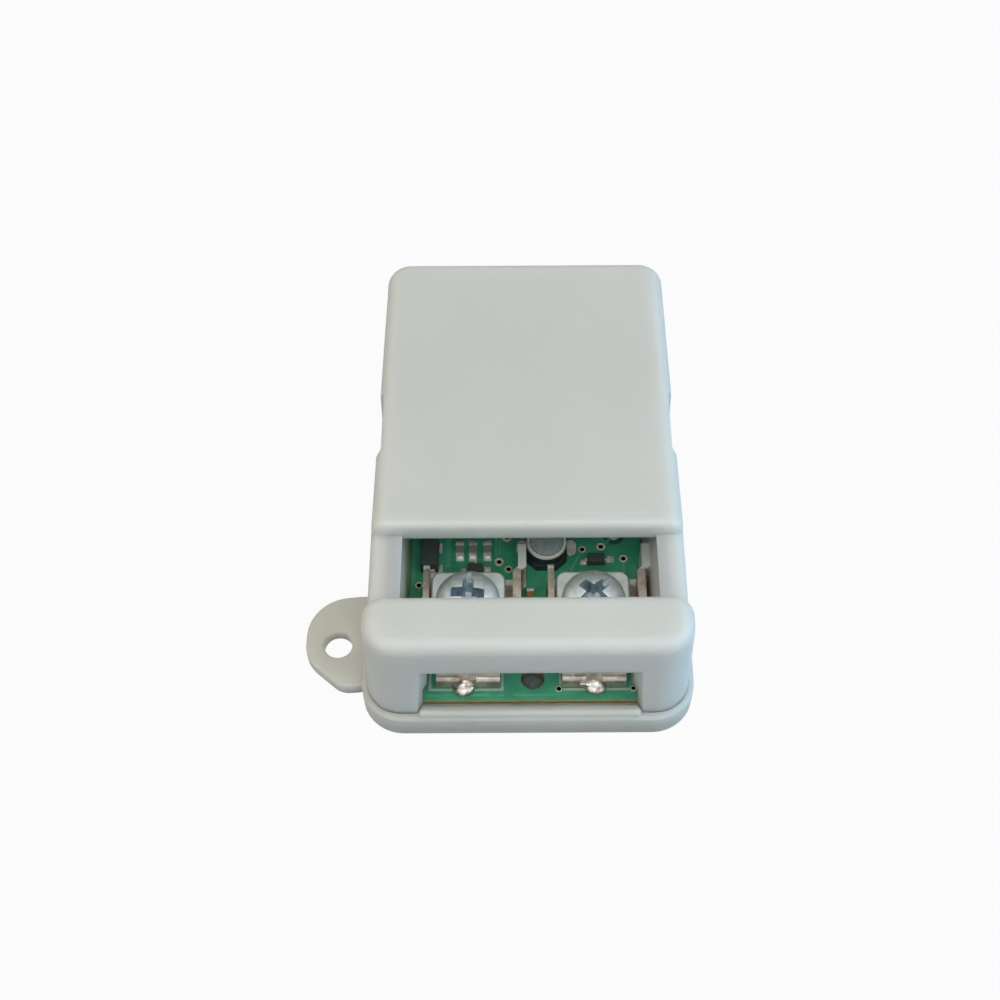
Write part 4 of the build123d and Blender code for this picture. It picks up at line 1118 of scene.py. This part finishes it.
window_edge = [
    v.co.x / MM
    for v in nodes["top_cover"].data.vertices
    if abs(v.co.z / MM - TROUGH_UNDER) < 0.01
    and WINDOW_FRONT < v.co.y / MM < WINDOW_REAR
    and abs(v.co.x / MM) < WINDOW_REACH
]
window_left, window_right = min(window_edge), max(window_edge)
# Painted light: the right wall's plastic paler and cooler, the left one's yellower.
daylight_painted_plastic = moulded_plastic("natural_polymer_painted_daylight_wall", "#F4FCFE", "#EAF6FA")[0]
roomlight_painted_plastic = moulded_plastic("natural_polymer_painted_roomlight_wall", "#E0D3AE", "#D6C8A0")[0]
for name, material, inner, outward, draft in (
    ("window_left_wall", roomlight_painted_plastic, window_left - WALL_BEHIND_EDGE, -1, 0.1),
    ("window_right_wall", daylight_painted_plastic, window_right + WALL_BEHIND_EDGE, 1, 0.62),
):
    shape = bmesh.new()
    wall = bmesh.ops.create_cube(shape, size=1)["verts"]
    size = Vector((WALL_THICK, WALL_REAR - WALL_FRONT, TROUGH_UNDER - WALL_FOOT)) * MM
    bmesh.ops.scale(shape, verts=wall, vec=size)
    middle = Vector(
        (inner + outward * WALL_THICK / 2, (WALL_FRONT + WALL_REAR) / 2, (TROUGH_UNDER + WALL_FOOT) / 2)
    )
    bmesh.ops.translate(shape, verts=wall, vec=middle * MM)
    foot = [v for v in wall if v.co.z < middle.z * MM]
    bmesh.ops.translate(shape, verts=foot, vec=Vector((-outward * draft, 0, 0)) * MM)
    made(name, shape, material)
print("window from x =", round(window_left, 2), "to", round(window_right, 2), "mm")

# %% [markdown]
# ## The mounting lug
# The lug is moulded with the base, and its edges are rounded by hand on the mould. A copy of the base
# gets its merged edges, and the bevel operator takes only those that lie out on the lug.

# %% Base with a rounded lug
LUG_ROOT, LUG_ROUNDING = -20.4, 0.4
ONE_FACE, CORNER = math.radians(1), math.radians(46)

shape = bmesh.new()
shape.from_mesh(nodes["base_tray"].data)
bmesh.ops.remove_doubles(shape, verts=shape.verts, dist=MERGE_WITHIN)
bmesh.ops.dissolve_limit(shape, angle_limit=ONE_FACE, verts=shape.verts, edges=shape.edges)
on_lug = [
    edge
    for edge in shape.edges
    if all(v.co.x < LUG_ROOT * MM for v in edge.verts)
    and edge.is_manifold
    and edge.calc_face_angle() > CORNER
]
level = [e for e in on_lug if abs(e.verts[0].co.z - e.verts[1].co.z) < 0.01 * MM]
bmesh.ops.bevel(
    shape,
    geom=level,
    offset=LUG_ROUNDING * MM,
    offset_type="OFFSET",
    segments=4,
    profile=0.5,
    affect="EDGES",
    material=-1,
)
tray = made("base_tray_finished", shape, base_plastic)
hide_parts("base_tray")
print(len(level), "lug edges rounded")

# %% [markdown]
# ## The floor
# The module stands on a wide sheet that isn't part of it, so the sheet is declared as stage. It lies
# a hair under the base, because two faces in one plane would flicker.

# %% Floor sheet
FLOOR_HALF, FLOOR_DROP = 1.5, 0.1 * MM

floor_mesh = bpy.data.meshes.new("floor")
shape = bmesh.new()
bmesh.ops.create_grid(shape, x_segments=1, y_segments=1, size=FLOOR_HALF)
shape.to_mesh(floor_mesh)
shape.free()
floor = bpy.data.objects.new("floor", floor_mesh)
bpy.context.scene.collection.objects.link(floor)
floor.location = (0, 0, -FLOOR_DROP)
floor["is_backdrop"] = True
print("floor sheet", 2 * FLOOR_HALF, "m wide")

# %% [markdown]
# The picture has a plain white ground. The sheet glows almost white for the eye, and for what metal
# and glass mirror, but lights the object only as grey paper would. The small rest of plain paper
# keeps the object's shadow.

# %% White ground
WHITE_SHARE = 0.955


def white_ground(tree):
    """1 for the rays that should find a white ground: the eye's, and those in metal and glass."""
    rays = add_node(tree, "ShaderNodeLightPath")
    eye = add_node(
        tree,
        "ShaderNodeMath",
        {"operation": "MAXIMUM"},
        {0: rays.outputs["Is Camera Ray"], 1: rays.outputs["Is Glossy Ray"]},
    )
    seen = add_node(
        tree,
        "ShaderNodeMath",
        {"operation": "MAXIMUM"},
        {0: eye.outputs[0], 1: rays.outputs["Is Transmission Ray"]},
    )
    return seen.outputs[0]


floor_material, tree, shader, place = new_material(
    "pale_paper_floor", {"Base Color": linear("#A2A6A8"), "Roughness": 0.9, "Specular IOR Level": 0.1}
)
share = add_node(
    tree, "ShaderNodeMath", {"operation": "MULTIPLY", 1: WHITE_SHARE}, {0: white_ground(tree)}
)
glow = add_node(tree, "ShaderNodeEmission", {"Color": (1, 1, 1, 1), "Strength": 1.0})
lit = add_node(
    tree,
    "ShaderNodeMixShader",
    links={0: share.outputs[0], 1: shader.outputs["BSDF"], 2: glow.outputs["Emission"]},
)
output = next(n for n in tree.nodes if n.type == "OUTPUT_MATERIAL")
tree.links.new(lit.outputs["Shader"], output.inputs["Surface"])
floor_mesh.materials.append(floor_material)
print("floor shows", WHITE_SHARE, "of white")

# %% [markdown]
# ## The world and the lamps
# The world fills the shadows faintly with a cool grey, and is white for the eye as the floor is.

# %% World
world = bpy.data.worlds.new("studio")
bpy.context.scene.world = world
world.use_nodes = True
tree = world.node_tree
tree.nodes.clear()
fill = add_node(tree, "ShaderNodeBackground", {"Color": linear("#E5E9EA"), "Strength": 0.42})
white = add_node(tree, "ShaderNodeBackground", {"Color": (1, 1, 1, 1), "Strength": 1.0})
both = add_node(
    tree,
    "ShaderNodeMixShader",
    links={0: white_ground(tree), 1: fill.outputs["Background"], 2: white.outputs["Background"]},
)
add_node(tree, "ShaderNodeOutputWorld", links={"Surface": both.outputs["Shader"]})
print("world ready")

# %% [markdown]
# Two broad lamps stand above and in front, and two beside them, warm on the left and cool on the
# right. Low cool lamps on the right and in front give the bluish edges that daylight from a window
# leaves on the case. The eye doesn't see the lamps, because some stand close enough to be in view.

# %% Lamps
def soft_lamp(name, place, target, size, energy, colour):
    """A round lamp, with its place, target and size in metres, that the eye doesn't see."""
    data = bpy.data.lights.new(name, "AREA")
    data.shape = "DISK"
    data.size = size
    data.energy = energy
    data.color = linear(colour)[:3]
    lamp = bpy.data.objects.new(name, data)
    lamp.location = place
    lamp.rotation_euler = (Vector(target) - Vector(place)).to_track_quat("-Z", "Y").to_euler()
    lamp.visible_camera = False
    bpy.context.scene.collection.objects.link(lamp)


soft_lamp("lamp_above", (0.02, -0.16, 0.62), (0, 0, 0), 0.5, 1.0, "#FFF1DE")
soft_lamp("lamp_front", (0.0, -0.4, 0.55), (0, 0, 0), 0.3, 0.66, "#D6EBFF")
soft_lamp("lamp_high_left", (-0.3, -0.1, 0.42), (0, 0, 0.01), 0.3, 0.34, "#FFDFB4")
soft_lamp("lamp_high_right", (0.3, -0.1, 0.42), (0, 0, 0.01), 0.3, 0.5, "#E8F4FF")
soft_lamp("lamp_cool_right", (0.2, -0.03, 0.065), (0, 0, 0.01), 0.1, 0.17, "#62BFF5")
soft_lamp("lamp_cool_front", (0.06, -0.4, 0.07), (0, 0, 0.01), 0.25, 0.08, "#64B8F5")
print(len(bpy.data.lights), "lamps ready")

# %% [markdown]
# ## The dressed model's size
# The size of the dressed model, over every shown piece but the floor, is printed in millimetres.
# The dressed model has to stay inside the solid model's box.

low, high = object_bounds()
print("size in mm:", [round(s / MM, 1) for s in high - low])
